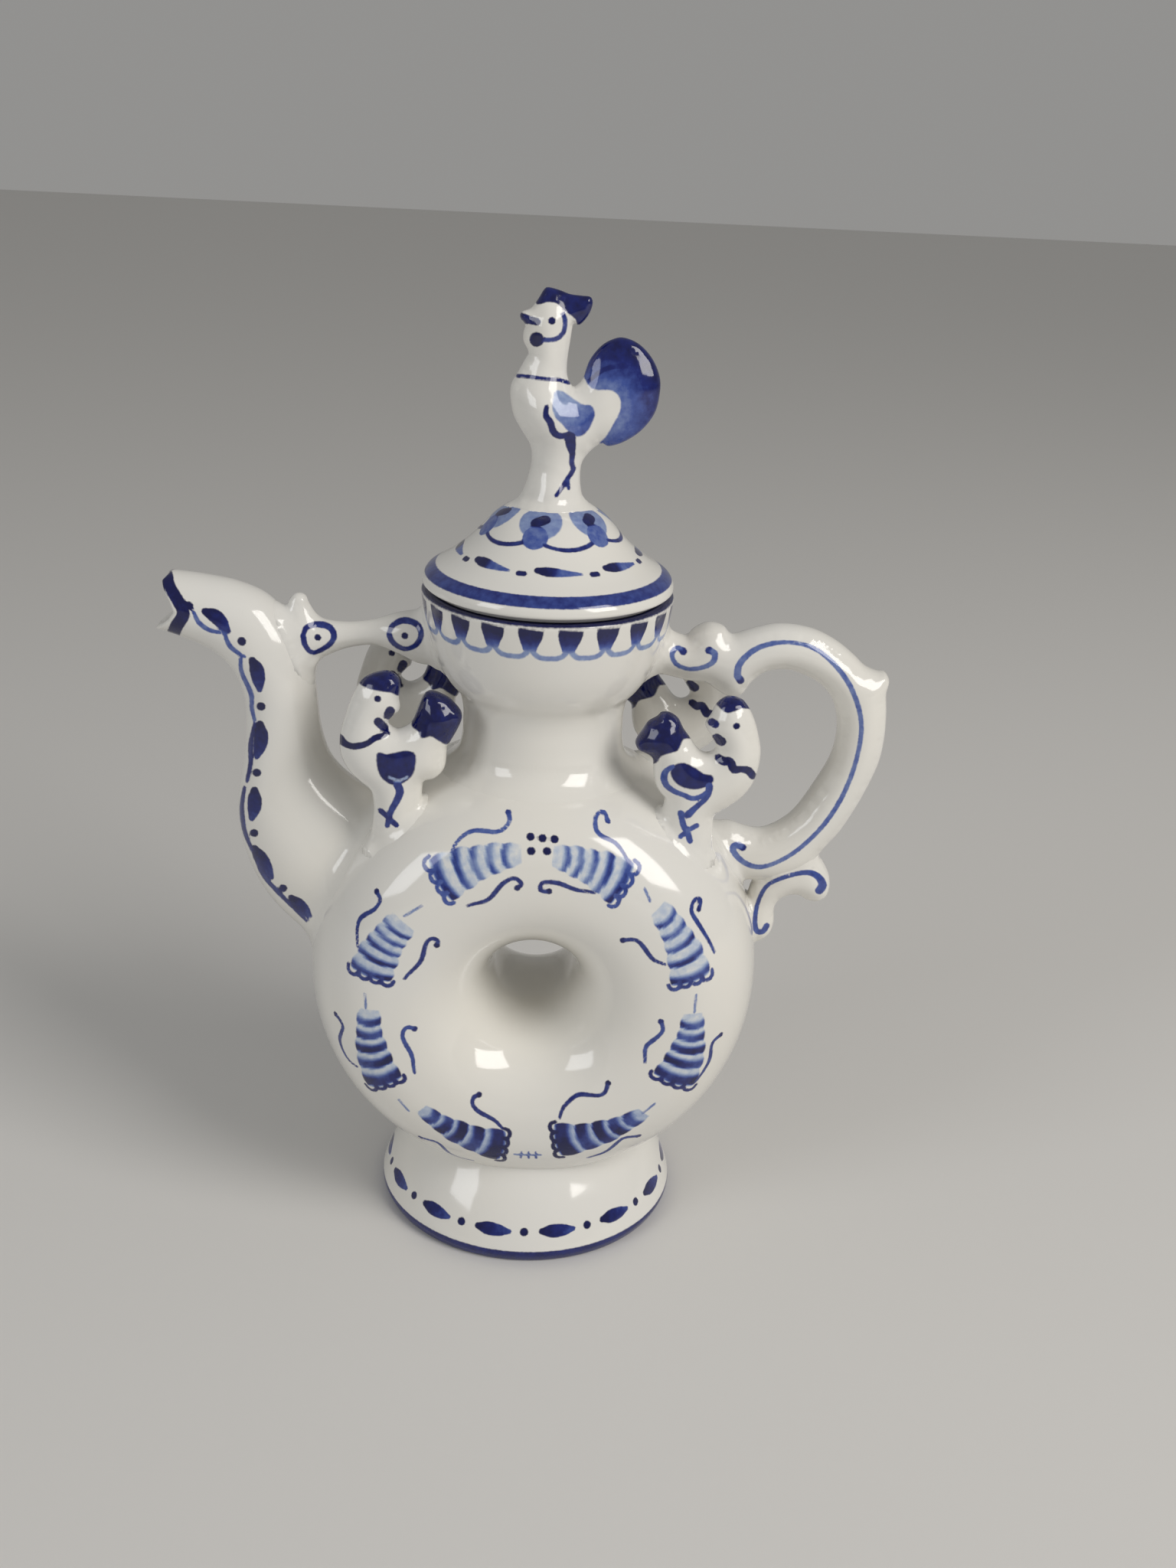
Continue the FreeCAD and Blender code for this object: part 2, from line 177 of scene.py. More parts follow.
def turning_tree():
    """Turns a row of profile points about an axis into a closed skin, as clay is turned on a wheel."""
    tree = bpy.data.node_groups.new("turning", "GeometryNodeTree")
    sockets = {"Profile": "Geometry", "Turns": "Int", "Axis": "Vector", "Centre": "Vector", "Glaze": "Material"}
    for name, kind in sockets.items():
        tree.interface.new_socket(name, in_out="INPUT", socket_type="NodeSocket" + kind)
    tree.interface.new_socket("Skin", in_out="OUTPUT", socket_type="NodeSocketGeometry")
    given = tree.nodes.new("NodeGroupInput").outputs
    result = tree.nodes.new("NodeGroupOutput").inputs

    def add(kind, inputs, **settings):
        made = tree.nodes.new(kind)
        for name, value in settings.items():
            setattr(made, name, value)
        for key, value in inputs.items():
            if isinstance(value, bpy.types.NodeSocket):
                tree.links.new(value, made.inputs[key])
            else:
                made.inputs[key].default_value = value
        return made.outputs

    count = add("GeometryNodeAttributeDomainSize", {0: given["Profile"]})[0]
    columns = add("ShaderNodeMath", {0: given["Turns"], 1: 1.0}, operation="ADD")[0]
    grid = add("GeometryNodeMeshGrid", {"Vertices X": columns, "Vertices Y": count})[0]
    index = add("GeometryNodeInputIndex", {})[0]
    column = add("FunctionNodeIntegerMath", {0: index, 1: count}, operation="DIVIDE_FLOOR")[0]
    row = add("FunctionNodeIntegerMath", {0: index, 1: count}, operation="MODULO")[0]
    position = add("GeometryNodeInputPosition", {})[0]
    point = add(
        "GeometryNodeSampleIndex", {"Geometry": given["Profile"], "Value": position, "Index": row},
        data_type="FLOAT_VECTOR", domain="POINT",
    )[0]
    share = add("ShaderNodeMath", {0: column, 1: given["Turns"]}, operation="DIVIDE")[0]
    angle = add("ShaderNodeMath", {0: share, 1: 2 * math.pi}, operation="MULTIPLY")[0]
    turned = add(
        "ShaderNodeVectorRotate",
        {"Vector": point, "Center": given["Centre"], "Axis": given["Axis"], "Angle": angle},
        rotation_type="AXIS_ANGLE",
    )[0]
    placed = add("GeometryNodeSetPosition", {"Geometry": grid, "Position": turned})[0]
    closed = add("GeometryNodeMergeByDistance", {"Geometry": placed, "Distance": 2e-6})[0]
    whole = add("GeometryNodeRealizeInstances", {0: closed})[0]
    glazed = add("GeometryNodeSetMaterial", {"Geometry": whole, "Material": given["Glaze"]})[0]
    tree.links.new(glazed, result[0])
    return tree


turning = turning_tree()


def piece(name, points, faces):
    """A smooth closed mesh from points in millimetres about the pot's axis, with its faces turned outwards."""
    mesh = bpy.data.meshes.new(name)
    points = np.asarray(points, float) * MM + [pot_axis, 0, 0]
    mesh.from_pydata(points.tolist(), [], faces)
    made = bpy.data.objects.new(name, mesh)
    bpy.context.scene.collection.objects.link(made)
    mesh.materials.append(porcelain)
    face_outwards(mesh)
    return made


def face_outwards(mesh):
    """Turns a closed mesh the right way out, and shades it smooth except at its sharp edges."""
    mesh.calc_loop_triangles()
    corners = np.empty(len(mesh.loop_triangles) * 3, np.int32)
    mesh.loop_triangles.foreach_get("vertices", corners)
    where = places(mesh)[corners].reshape(-1, 3, 3)
    if np.einsum("ij,ij->i", where[:, 0], np.cross(where[:, 1], where[:, 2])).sum() < 0:
        mesh.flip_normals()
    mesh.shade_smooth()
    mesh.set_sharp_from_angle(angle=math.radians(50))


def places(mesh):
    """A mesh's points, in millimetres about the pot's axis."""
    flat = np.empty(len(mesh.vertices) * 3, np.float32)
    mesh.vertices.foreach_get("co", flat)
    return (flat.reshape(-1, 3).astype(float) - [pot_axis, 0, 0]) / MM


def outward(mesh):
    """The direction in which a mesh's skin faces at each of its points."""
    flat = np.empty(len(mesh.vertices) * 3, np.float32)
    mesh.vertex_normals.foreach_get("vector", flat)
    return flat.reshape(-1, 3).astype(float)


def made_plain(worked):
    """Takes up an object's live modifiers into its mesh."""
    bpy.context.view_layer.update()
    graph = bpy.context.evaluated_depsgraph_get()
    mesh = bpy.data.meshes.new_from_object(worked.evaluated_get(graph), depsgraph=graph)
    worked.modifiers.clear()
    spare = worked.data
    worked.data = mesh
    bpy.data.meshes.remove(spare)
    face_outwards(mesh)
    return worked


def turn(name, profile, turns, axis=(0, 0, 1), centre=(0, 0, 0)):
    """A turned piece from the (radius, height) points of its whole outline, as a plain mesh."""
    profile = np.asarray(profile, float)
    points = np.column_stack([profile[:, 0], np.zeros(len(profile)), profile[:, 1]])
    if axis[1]:
        points = np.column_stack([np.zeros(len(profile)), profile[:, 1], profile[:, 0]]) + centre
    made = piece(name, points, [])
    wheel = made.modifiers.new("turning", "NODES")
    wheel.node_group = turning
    values = {
        "Turns": turns,
        "Axis": axis,
        "Centre": tuple(Vector(centre) * MM + Vector((pot_axis, 0, 0))),
        "Glaze": porcelain,
    }
    for item in turning.interface.items_tree:
        if item.name in values:
            wheel[item.identifier] = values[item.name]
    return made_plain(made)


def flowing(points, step, closed=False):
    """A smooth line through the points, divided evenly about every step."""
    points = np.asarray(points, float)
    if closed:
        ends = np.vstack([points[-1:], points, points[:2]])
    else:
        ends = np.vstack([2 * points[:1] - points[1:2], points, 2 * points[-1:] - points[-2:-1]])
    t = np.linspace(0, 1, 24, endpoint=False)[:, None]
    runs = []
    for a, b, c, d in zip(ends, ends[1:], ends[2:], ends[3:]):
        runs.append(0.5 * (2 * b + (c - a) * t + (2 * a - 5 * b + 4 * c - d) * t**2 + (3 * b - a - 3 * c + d) * t**3))
    line = np.vstack(runs + [ends[-2:-1]])
    gone = np.concatenate([[0], np.cumsum(np.linalg.norm(np.diff(line, axis=0), axis=1))])
    count = max(3, int(round(gone[-1] / step)))
    marks = np.linspace(0, gone[-1], count + 1)
    if closed:
        marks = marks[:-1]
    return np.column_stack([np.interp(marks, gone, line[:, k]) for k in range(line.shape[1])])


bare = -2.0
brush_margin = 1.5


class Painting:
    """Brushwork on a piece: how deep each point lies inside a stroke, in millimetres, and how dark it is there."""

    def __init__(self, painted, middle=None, front=0.0):
        """With a middle plane, strokes lie in a plane that far in front of it and are laid on both faces alike."""
        self.painted = painted
        self.points = places(painted.data)
        self.facing = outward(painted.data)
        if middle is not None:
            reach = eye_distance - abs(middle)
            share = (reach - front) / (reach - np.abs(self.points[:, 1] - middle))
            height = eye_height + (self.points[:, 2] - eye_height) * share
            self.points = np.column_stack([self.points[:, 0] * share, np.zeros(len(share)), height])
            self.facing = np.tile([0.0, -1.0, 0.0], (len(share), 1))
        self.depth = {layer: np.full(len(self.points), bare) for layer in stroke_edges}
        self.tone = {layer: np.full(len(self.points), 0.5) for layer in stroke_edges}

    def lay(self, layer, near, depth, tone):
        """Puts colour on the near points, wherever it lies deeper than what is there."""
        better = depth > self.depth[layer][near]
        self.depth[layer][near[better]] = depth[better]
        self.tone[layer][near[better]] = (np.zeros(len(near)) + tone)[better]

    def stroke(self, layer, path, widths, tone, blunt=False):
        """One brush stroke along a path; tone is a number, or follows the place along (0 to 1) and across (-1 to 1)."""
        path = np.asarray(path, float)
        widths = np.interp(np.linspace(0, 1, len(path)), np.linspace(0, 1, np.size(widths)), np.atleast_1d(widths))
        reach = widths.max() + brush_margin
        inside = ((self.points > path.min(0) - reach) & (self.points < path.max(0) + reach)).all(1)
        near = np.flatnonzero(inside)
        if not len(near):
            return
        points = self.points[near]
        gap = np.full(len(near), np.inf)
        along = np.zeros(len(near))
        width = np.zeros(len(near))
        side = np.zeros(len(near))
        past = np.zeros(len(near))
        last = len(path) - 2
        for k in range(last + 1):
            run = path[k + 1] - path[k]
            share = (points - path[k]) @ run / max(run @ run, 1e-9)
            held = np.clip(share, 0, 1)
            off = points - path[k] - held[:, None] * run
            far = np.linalg.norm(off, axis=1)
            closer = far < gap
            gap[closer] = far[closer]
            along[closer] = (k + held[closer]) / (last + 1)
            width[closer] = (widths[k] + held * (widths[k + 1] - widths[k]))[closer]
            side[closer] = np.einsum("ij,ij->i", np.cross(self.facing[near], run), off)[closer] / np.linalg.norm(run)
            over = np.maximum(-share if k == 0 else -1e3, share - 1 if k == last else -1e3) * np.linalg.norm(run)
            past[closer] = np.broadcast_to(over, len(near))[closer]
        depth = width - gap
        if blunt:
            depth = np.minimum(depth, -past)
        if callable(tone):
            tone = tone(along, side / np.maximum(width, 0.05))
        self.lay(layer, near, depth, tone)

    def dot(self, layer, centre, radius, tone):
        """One round touch of the brush."""
        centre = np.asarray(centre, float)
        near = np.flatnonzero((np.abs(self.points - centre) < radius + brush_margin).all(1))
        self.lay(layer, near, radius - np.linalg.norm(self.points[near] - centre, axis=1), tone)

    def patch(self, layer, outline, tone):
        """A filled shape of the middle plane, from its (x, z) outline."""
        edge = flowing(outline, 0.4, closed=True)
        flat = self.points[:, [0, 2]]
        inside = ((flat > edge.min(0) - brush_margin) & (flat < edge.max(0) + brush_margin)).all(1)
        near = np.flatnonzero(inside)
        far, within = edge_distance(edge, flat[near])
        if callable(tone):
            tone = tone(flat[near, 0], flat[near, 1])
        self.lay(layer, near, np.where(within, far, -far), tone)

    def done(self):
        """Writes the brushwork into the piece's own attributes, which the glaze reads."""
        for layer in stroke_edges:
            for name, values in (("_depth", self.depth[layer]), ("_tone", self.tone[layer])):
                attribute = self.painted.data.attributes.new(layer + name, "FLOAT", "POINT")
                attribute.data.foreach_set("value", values.astype(np.float32))


def edge_distance(edge, points, counted=None):
    """How far flat points lie from a closed edge, or from the counted runs of it, and which of them are inside it."""
    far = np.full(len(points), 1e3)
    within = np.zeros(len(points), bool)
    for k, (a, b) in enumerate(zip(edge, np.roll(edge, -1, axis=0))):
        run = b - a
        if counted is None or counted[k]:
            share = np.clip((points - a) @ run / max(run @ run, 1e-9), 0, 1)
            far = np.minimum(far, np.linalg.norm(points - a - share[:, None] * run, axis=1))
        if a[1] != b[1]:
            crossing = (a[1] > points[:, 1]) != (b[1] > points[:, 1])
            within ^= crossing & (points[:, 0] < (b[0] - a[0]) * (points[:, 1] - a[1]) / (b[1] - a[1]) + a[0])
    return far, within


def ring_outline(side, inset, step):
    """Half of the ring's section from its outside round to its throat, as (distance from the axis, depth)."""
    turn_by = np.linspace(0, np.pi, 181)
    radial = np.sign(np.cos(turn_by)) * np.abs(np.cos(turn_by)) ** (2 / ring_fullness) * (ring_half_radial - inset)
    depth = np.abs(np.sin(turn_by)) ** (2 / ring_fullness) * (ring_half_depth - inset)
    return flowing(np.column_stack([ring_middle + radial, side * depth]), step)


def on_ring(side, clock, reach):
    """A point of the ring's face at an angle from the top, seen from that side, and a distance from its middle."""
    clock = np.radians(np.asarray(clock, float))
    reach = np.asarray(reach, float)
    share = 1 - np.abs((reach - ring_middle) / ring_half_radial) ** ring_fullness
    depth = ring_half_depth * np.maximum(share, 0) ** (1 / ring_fullness)
    x = reach * np.sin(clock) * -side
    return np.column_stack([x, side * depth, ring_centre_height + reach * np.cos(clock)])


# Each row: where a segment starts and ends round the ring, its middle radius at both ends, and its half widths.
wreath = {
    1: [(5.5, 29.5, 36.4, 35.2, 2.2, 5.0), (45.0, 73.5, 35.6, 34.0, 2.2, 4.7),
        (88.0, 116.0, 33.6, 34.2, 2.2, 5.6), (134.0, 167.5, 33.8, 31.6, 2.0, 5.0)],
    -1: [(6.0, 33.0, 36.6, 35.6, 2.1, 5.0), (53.0, 76.5, 33.8, 34.5, 3.1, 4.9),
         (91.0, 120.5, 33.8, 35.6, 2.3, 4.9), (137.5, 170.5, 33.0, 33.4, 1.8, 4.9)],
}
curls = {
    1: [
        [(18.5, 44.0), (16.4, 45.1), (15.0, 43.5), (17.0, 41.8), (22.6, 41.3), (27.7, 39.5)],
        [(5.1, 29.2), (1.7, 29.1), (1.5, 30.7), (6.8, 31.3), (15.0, 30.7), (22.0, 31.4)],
        [(54.2, 41.3), (53.2, 42.6), (51.3, 41.6), (53.0, 40.0), (58.5, 39.8), (68.7, 40.2)],
        [(44.3, 25.8), (48.6, 28.0), (59.0, 28.3), (63.8, 30.1)],
        [(97.3, 40.6), (99.8, 39.0), (106.6, 39.8), (114.6, 39.2)],
        [(90.6, 27.0), (95.6, 27.6), (105.0, 25.2), (113.2, 26.4)],
        [(133.8, 23.3), (140.4, 24.5), (151.3, 22.2), (161.0, 23.6), (164.7, 25.9)],
        [(141.5, 38.9), (145.9, 36.9), (153.8, 38.8), (159.9, 38.9)],
    ],
    -1: [
        [(8.3, 43.6), (7.5, 42.9), (11.1, 40.9), (18.4, 41.8), (23.0, 41.1), (26.0, 39.7)],
        [(7.5, 29.8), (5.7, 30.7), (8.2, 32.0), (12.7, 31.1), (20.0, 28.4), (28.8, 28.7)],
        [(52.0, 41.4), (52.0, 40.2), (55.9, 39.6), (62.4, 40.8), (69.5, 38.8)],
        [(51.7, 25.4), (48.9, 26.1), (52.3, 27.5), (62.8, 26.1), (73.7, 27.6)],
        [(95.3, 41.5), (98.5, 40.1), (104.5, 41.9), (110.6, 41.6), (113.3, 39.9)],
        [(99.9, 24.7), (98.3, 26.4), (103.2, 27.5), (112.9, 27.0), (121.4, 28.4)],
        [(152.4, 22.8), (150.3, 24.3), (154.8, 26.0), (164.4, 26.9), (169.3, 28.5)],
        [(145.4, 40.8), (150.6, 39.1), (157.3, 41.8), (163.7, 41.1)],
    ],
}
links = {
    1: [[(36.2, 37.0), (40.5, 35.7)], [(79.9, 34.5), (86.8, 34.0)], [(127.5, 34.1), (133.8, 33.8)]],
    -1: [[(43.1, 33.7), (50.4, 34.5)], [(84.1, 34.9), (89.8, 34.5)], [(128.5, 35.4), (134.4, 35.7)],
         [(175.8, 35.2), (185.2, 35.2)]],
}
stripe_marks = np.array([0.0, 0.17, 0.35, 0.54, 0.75, 1.0])
stripe_dark = (0.62, 0.78, 0.92, 1.0)
stripe_pale = (0.08, 0.1, 0.12, 0.2)
stripe_start = (0.3, 0.35, 0.16, 0.05)
tooth_count = 4
tooth_length = 1.6
curl_strengths = (0.6, 0.8, 0.72, 0.76, 0.76, 0.68, 0.8, 0.72)
curl_brush = [0.5, 0.44, 0.54, 0.46, 0.36]
# The five dots at the top and the three ticks at the bottom of the wreath.
top_dots = [(-2.3, 39.7), (1.2, 39.5), (4.7, 39.5), (-2.1, 37.2), (2.8, 37.3)]
bottom_ticks = (181.9, 179.2, 176.6)
tick_reach = [34.2, 36.2]


def soft_step(low, high, values):
    """0 below low, 1 above high, and a soft step in between."""
    share = np.clip((values - low) / (high - low), 0, 1)
    return share * share * (3 - 2 * share)


def paint_segment(painting, side, hand, number, start, end, reach_a, reach_b, half_a, half_b):
    """One striped segment: five strokes of a flat brush, each loaded on its edge towards the wide end."""
    x = painting.points[:, 0]
    height = painting.points[:, 2] - ring_centre_height
    along = (np.degrees(np.arctan2(-side * hand * x, height)) - start) / (end - start)
    near = np.flatnonzero((along > -0.2) & (along < 1.2) & (painting.facing[:, 1] * side > 0.1))
    along = along[near]
    reach = np.hypot(x, height)[near]
    half = half_a + (half_b - half_a) * along
    across = (reach - reach_a - (reach_b - reach_a) * along) / half
    bowed = along - 0.05 * (1 - across**2)
    stripe = np.interp(bowed, stripe_marks, np.arange(len(stripe_marks)))
    stripe = np.clip(stripe, 0, len(stripe_marks) - 1.001)
    part = stripe % 1
    count = stripe // 1
    length = math.radians(end - start) * (reach_a + reach_b) / 2
    sides = half * (1 - 0.12 * (2 * part - 1) ** 2 - np.abs(across)) + 0.12 * np.sin(2.4 * count + number)
    ends = np.minimum(along + 0.03, 1.0 - bowed) * length
    dark, pale, rise = stripe_dark[number], stripe_pale[number], stripe_start[number]
    loaded = soft_step(rise, rise + 0.42, part) * (1 - soft_step(0.86, 0.99, part))
    drag = 0.84 + 0.16 * np.cos(1.7 * across + 1.9 * count + number)
    dark = (dark + 0.04 * count + 0.12 * (count == 4)) * drag
    tone = pale + (dark - pale) * loaded
    painting.lay("wash", near, np.minimum(sides, ends), tone)


def paint_teeth(painting, side, hand, number, end, reach, half):
    """The row of small loops at a segment's wide end."""
    tooth = 2 * half / tooth_count
    span = np.linspace(0, np.pi, 9)
    for k in range(tooth_count):
        low = reach - half + tooth * k
        bulge = np.degrees(tooth_length / reach) * np.sin(span) ** 0.7 - np.degrees(0.2 / reach)
        loop = on_ring(side, hand * (end + bulge), low + tooth * (1 - np.cos(span)) / 2)
        painting.stroke("line", loop, 0.46, 0.62 + 0.12 * number)


def paint_wreath(half, side):
    """Segments, curls, links, dots and ticks on one face of the ring."""
    painting = Painting(half)
    for hand in (1, -1):
        for number, (start, end, reach_a, reach_b, half_a, half_b) in enumerate(wreath[hand]):
            paint_segment(painting, side, hand, number, start, end, reach_a, reach_b, half_a, half_b)
            paint_teeth(painting, side, hand, number, end, reach_b, half_b)
        for curl, strength in zip(curls[hand], curl_strengths):
            drawn = flowing(curl, 2.0)
            line = flowing(on_ring(side, hand * drawn[:, 0], drawn[:, 1]), 0.6)
            painting.stroke("line", line, curl_brush, strength)
            painting.dot("line", line[0], 0.68, strength + 0.15)
        for link in links[hand]:
            drawn = np.asarray(link)
            painting.stroke("line", on_ring(side, hand * drawn[:, 0], drawn[:, 1]), 0.3, 0.42)
    for clock, reach in top_dots:
        painting.dot("line", on_ring(side, [clock], [reach])[0], 0.88, 1.0)
    for clock in bottom_ticks:
        painting.stroke("line", on_ring(side, [clock, clock], tick_reach), 0.28, 0.6)
    painting.done()


def ring_half(name, side):
    """One hollow half of the ring, turned about the ring's own axis."""
    skin = np.vstack([ring_outline(side, 0, ring_step), ring_outline(side, ring_wall, ring_inner_step)[::-1]])
    closed = np.vstack([skin, skin[:1]])
    return turn(name, closed, ring_turns, axis=(0, 1, 0), centre=(0, 0, ring_centre_height))


def bored(worked, tool):
    """Cuts a tool's shape out of a piece."""
    cut = worked.modifiers.new("bore", "BOOLEAN")
    cut.operation = "DIFFERENCE"
    cut.solver = "EXACT"
    cut.object = tool
    made_plain(worked)


def finished(made, node, body="pot"):
    """Puts a piece on the body it rides on and hides the CAD node it stands for."""
    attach(made, body)
    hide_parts(node)


neck_bore_profile = [(0, neck_bore_low), (neck_bore_radius, neck_bore_low), (neck_bore_radius, neck_bore_high),
                     (0, neck_bore_high)]
neck_bore = turn("neck_bore", neck_bore_profile, 64)
ring_halves = {}
for name, side in (("body_front", -1), ("body_back", 1)):
    ring_halves[name] = ring_half(name + "_glazed", side)
    bored(ring_halves[name], neck_bore)
    paint_wreath(ring_halves[name], side)
    finished(ring_halves[name], name)
bpy.data.objects.remove(neck_bore)


# Foot: a turned, hollow pedestal of porcelain with a flat standing ring, luted under the ring body.
# It is painted with a row of leaf drops and dots and a cobalt band round the edge.
def on_turned(outline, clock, key, by_height=True):
    """A point of a turned outside at an angle from the front, to the right, and at a height or at a radius."""
    outline = np.asarray(outline, float)
    clock = np.radians(np.asarray(clock, float))
    key = np.asarray(key, float)
    column = 1 if by_height else 0
    order = np.argsort(outline[:, column])
    other = np.interp(key, outline[order, column], outline[order, 1 - column])
    radius, height = (other, key) if by_height else (key, other)
    return np.column_stack([radius * np.sin(clock), -radius * np.cos(clock), height + 0 * clock])


foot_turns = 420
foot_outside = flowing(
    [(33.1, 0.5), (33.7, 2.4), (32.9, 5.0), (31.6, 8.0), (29.4, 12.2), (26.9, 16.3), (24.9, 20.4)], 0.5)
foot_ring = [(28.6, 0.0), (29.2, 0.0), (32.4, 0.0), (32.8, 0.12)]
foot_inside = [(21.4, 20.4), (28.6, 0.0)]
foot_leaves = 14
first_foot_leaf = 13.6
foot_leaf_brush = [0.7, 1.45, 1.5, 1.2, 0.5]
foot_dot_height = 7.1
foot_band_height = 1.4
all_round = np.linspace(0, 360, 181)

foot = turn("foot_glazed", np.vstack([foot_ring, foot_outside, foot_inside]), foot_turns)
painting = Painting(foot)
for k in range(foot_leaves):
    clock = first_foot_leaf + 360 / foot_leaves * k
    leaf = on_turned(foot_outside, clock + np.linspace(-6.3, 6.6, 16), np.linspace(7.2, 7.0, 16))
    painting.stroke("line", leaf, foot_leaf_brush, lambda along, across: 1.0 - 0.3 * along)
    painting.dot("line", on_turned(foot_outside, [clock + 12.4], [foot_dot_height])[0], 0.95, 0.98)
foot_band = on_turned(foot_outside, all_round, np.full(len(all_round), foot_band_height))
painting.stroke("line", foot_band, 1.6, 0.88)
painting.done()
finished(foot, "foot")


# Neck and collar: a turned, waisted neck that spreads on to the ring and opens into a cup for the lid.
# A fringe of cobalt tassels hangs from its rim, which is painted dark.
def near_surface(*made):
    """The nearest-point finder for what carries a piece, without the hidden faces where the ring's halves meet."""
    points = []
    faces = []
    for part in made:
        offset = len(points)
        points.extend(vertex.co[:] for vertex in part.data.vertices)
        for polygon in part.data.polygons:
            hidden = abs(polygon.normal.y) >= 0.999 and abs(polygon.center.y) <= 0.01 * MM
            if not hidden:
                faces.append([offset + k for k in polygon.vertices])
    return BVHTree.FromPolygons(points, faces)


smoothing_rounds = 4
slip_sunk = 0.15 * MM


def evened(mesh, facing):
    """Takes the unevenness out of a skin's outward directions, and leaves its edges alone."""
    ties = np.empty(len(mesh.edges) * 2, np.int32)
    mesh.edges.foreach_get("vertices", ties)
    start, end = ties.reshape(-1, 2).T
    for smoothing in range(smoothing_rounds):
        alike = np.maximum((facing[start] * facing[end]).sum(1), 0)[:, None]
        summed = facing.copy()
        np.add.at(summed, start, facing[end] * alike)
        np.add.at(summed, end, facing[start] * alike)
        facing = summed / np.linalg.norm(summed, axis=1)[:, None]
    return facing


def lute(made, carrier, reach, hollow=False):
    """Spreads a piece out where it meets what carries it, as slip smoothed round the joint does."""
    mesh = made.data
    points = places(mesh) * MM + [pot_axis, 0, 0]
    facing = evened(mesh, outward(mesh))
    reach = reach * MM
    for k, (point, normal) in enumerate(zip(points, facing)):
        spot, up, face, far = carrier.find_nearest(Vector(point), reach * 3)
        if spot is None:
            continue
        point, normal = Vector(point), Vector(normal)
        height = (point - spot).dot(up)
        if height >= reach or far > reach * 1.5 or height < -reach:
            continue
        way = normal - up * normal.dot(up)
        if way.length < 0.2 or (hollow and way.dot(point - Vector((pot_axis, 0, point.z))) < 0):
            continue
        spread = (math.sqrt(reach) - math.sqrt(max(height, 0))) ** 2
        moved = point + way.normalized() * spread
        spot, up, face, far = carrier.find_nearest(moved)
        points[k] = spot + up * (height if height > 0 else 0.3 * height - slip_sunk)
    mesh.vertices.foreach_set("co", points.astype(np.float32).ravel())
    mesh.update()


ring_surface = near_surface(*ring_halves.values())
collar_outside = flowing(
    [
        (20.9, 102.6), (19.2, 105.6), (17.8, 108.6), (17.1, 111.6), (16.9, 115.0), (17.0, 118.6), (17.9, 121.9),
        (20.2, 124.8), (22.2, 127.9), (23.8, 131.9), (25.1, 137.5), (25.9, 142.6), (25.95, 143.5),
    ], 0.45)
collar_rim = [(25.8, 143.85), (25.5, 143.98), (23.7, 143.98), (23.2, 143.7), (23.0, 143.2)]
collar_inside = flowing(
    [
        (22.9, 142.0), (22.1, 137.5), (20.9, 131.5), (19.4, 127.6), (17.2, 124.6), (15.0, 121.6), (14.1, 118.0),
        (14.0, 112.0), (14.4, 107.5), (15.0, 104.8),
    ], 1.0)
collar_turns = 420
tassels = 21
first_tassel = 10.4
tassel_brush = [2.5, 2.45, 2.1, 1.6, 1.2]
rim_radius = 24.6
rim_height = 144.0
swag_span = np.linspace(-1, 1, 15)

collar_profile = np.vstack([collar_outside, collar_rim, collar_inside, collar_outside[:1]])
collar = turn("neck_collar_glazed", collar_profile, collar_turns)
lute(collar, ring_surface, 3.5, hollow=True)
painting = Painting(collar)
for k in range(tassels):
    clock = first_tassel + 360 / tassels * k
    tassel = on_turned(collar_outside, clock + np.linspace(0.2, -0.4, 10), np.linspace(143.1, 138.5, 10))
    painting.stroke("line", tassel, tassel_brush, lambda along, across: 1.05 - 0.62 * along**2, blunt=True)
    swag = on_turned(collar_outside, clock + 8.57 + 7.6 * swag_span, 137.2 + 1.5 * swag_span**4)
    painting.stroke("wash", swag, 0.56, 0.36)
rim_turn = np.radians(all_round)
rim_line = [rim_radius * np.sin(rim_turn), rim_radius * np.cos(rim_turn), np.full(len(rim_turn), rim_height)]
painting.stroke("line", np.column_stack(rim_line), 1.35, 1.0)
painting.done()
finished(collar, "neck_collar")


# Spout: a slip-cast, hollow S-shaped tube of porcelain with an open beak, luted to the ring's shoulder.
# A line of leaf drops and dots runs down each side from the dark lip.
def upright(points):
    """Points of the middle plane from their (x, height)."""
    points = np.asarray(points, float)
    return np.column_stack([points[:, 0], np.zeros(len(points)), points[:, 1]])


def draw(painting, points, widths, tone, step=0.6):
    """A brush line through (x, height) points, on both faces of a piece."""
    painting.stroke("line", upright(flowing(points, step)), widths, tone)


# Each row: the spout's lower and upper side, as (x, height), and half its depth.
spout_rows = [
    ((-46.2, 61.5), (-33.5, 91.0), 13.8),
    ((-50.8, 64.4), (-34.8, 94.2), 13.6),
    ((-57.2, 70.6), (-36.6, 96.9), 13.0),
    ((-61.2, 76.8), (-38.8, 98.7), 12.2),
    ((-63.9, 84.0), (-41.0, 100.4), 11.4),
    ((-64.9, 90.5), (-43.2, 102.6), 10.5),
    ((-64.9, 95.5), (-45.0, 105.2), 9.6),
    ((-64.1, 101.0), (-46.3, 108.8), 8.8),
    ((-63.1, 107.0), (-47.1, 112.6), 8.2),
    ((-62.7, 112.6), (-47.5, 116.6), 7.9),
    ((-62.7, 117.0), (-48.0, 121.6), 7.8),
    ((-63.5, 121.0), (-49.8, 128.6), 7.8),
    ((-65.0, 124.1), (-53.0, 135.2), 7.8),
    ((-67.3, 126.8), (-57.6, 140.2), 7.6),
    ((-70.4, 128.9), (-63.6, 142.8), 7.2),
    ((-74.3, 130.5), (-70.4, 144.0), 6.8),
    ((-77.9, 131.7), (-75.4, 144.5), 6.4),
    ((-81.5, 132.6), (-80.0, 144.7), 6.0),
]
spout_wall = 2.2
lip_swell = 0.8
spout_columns = 96
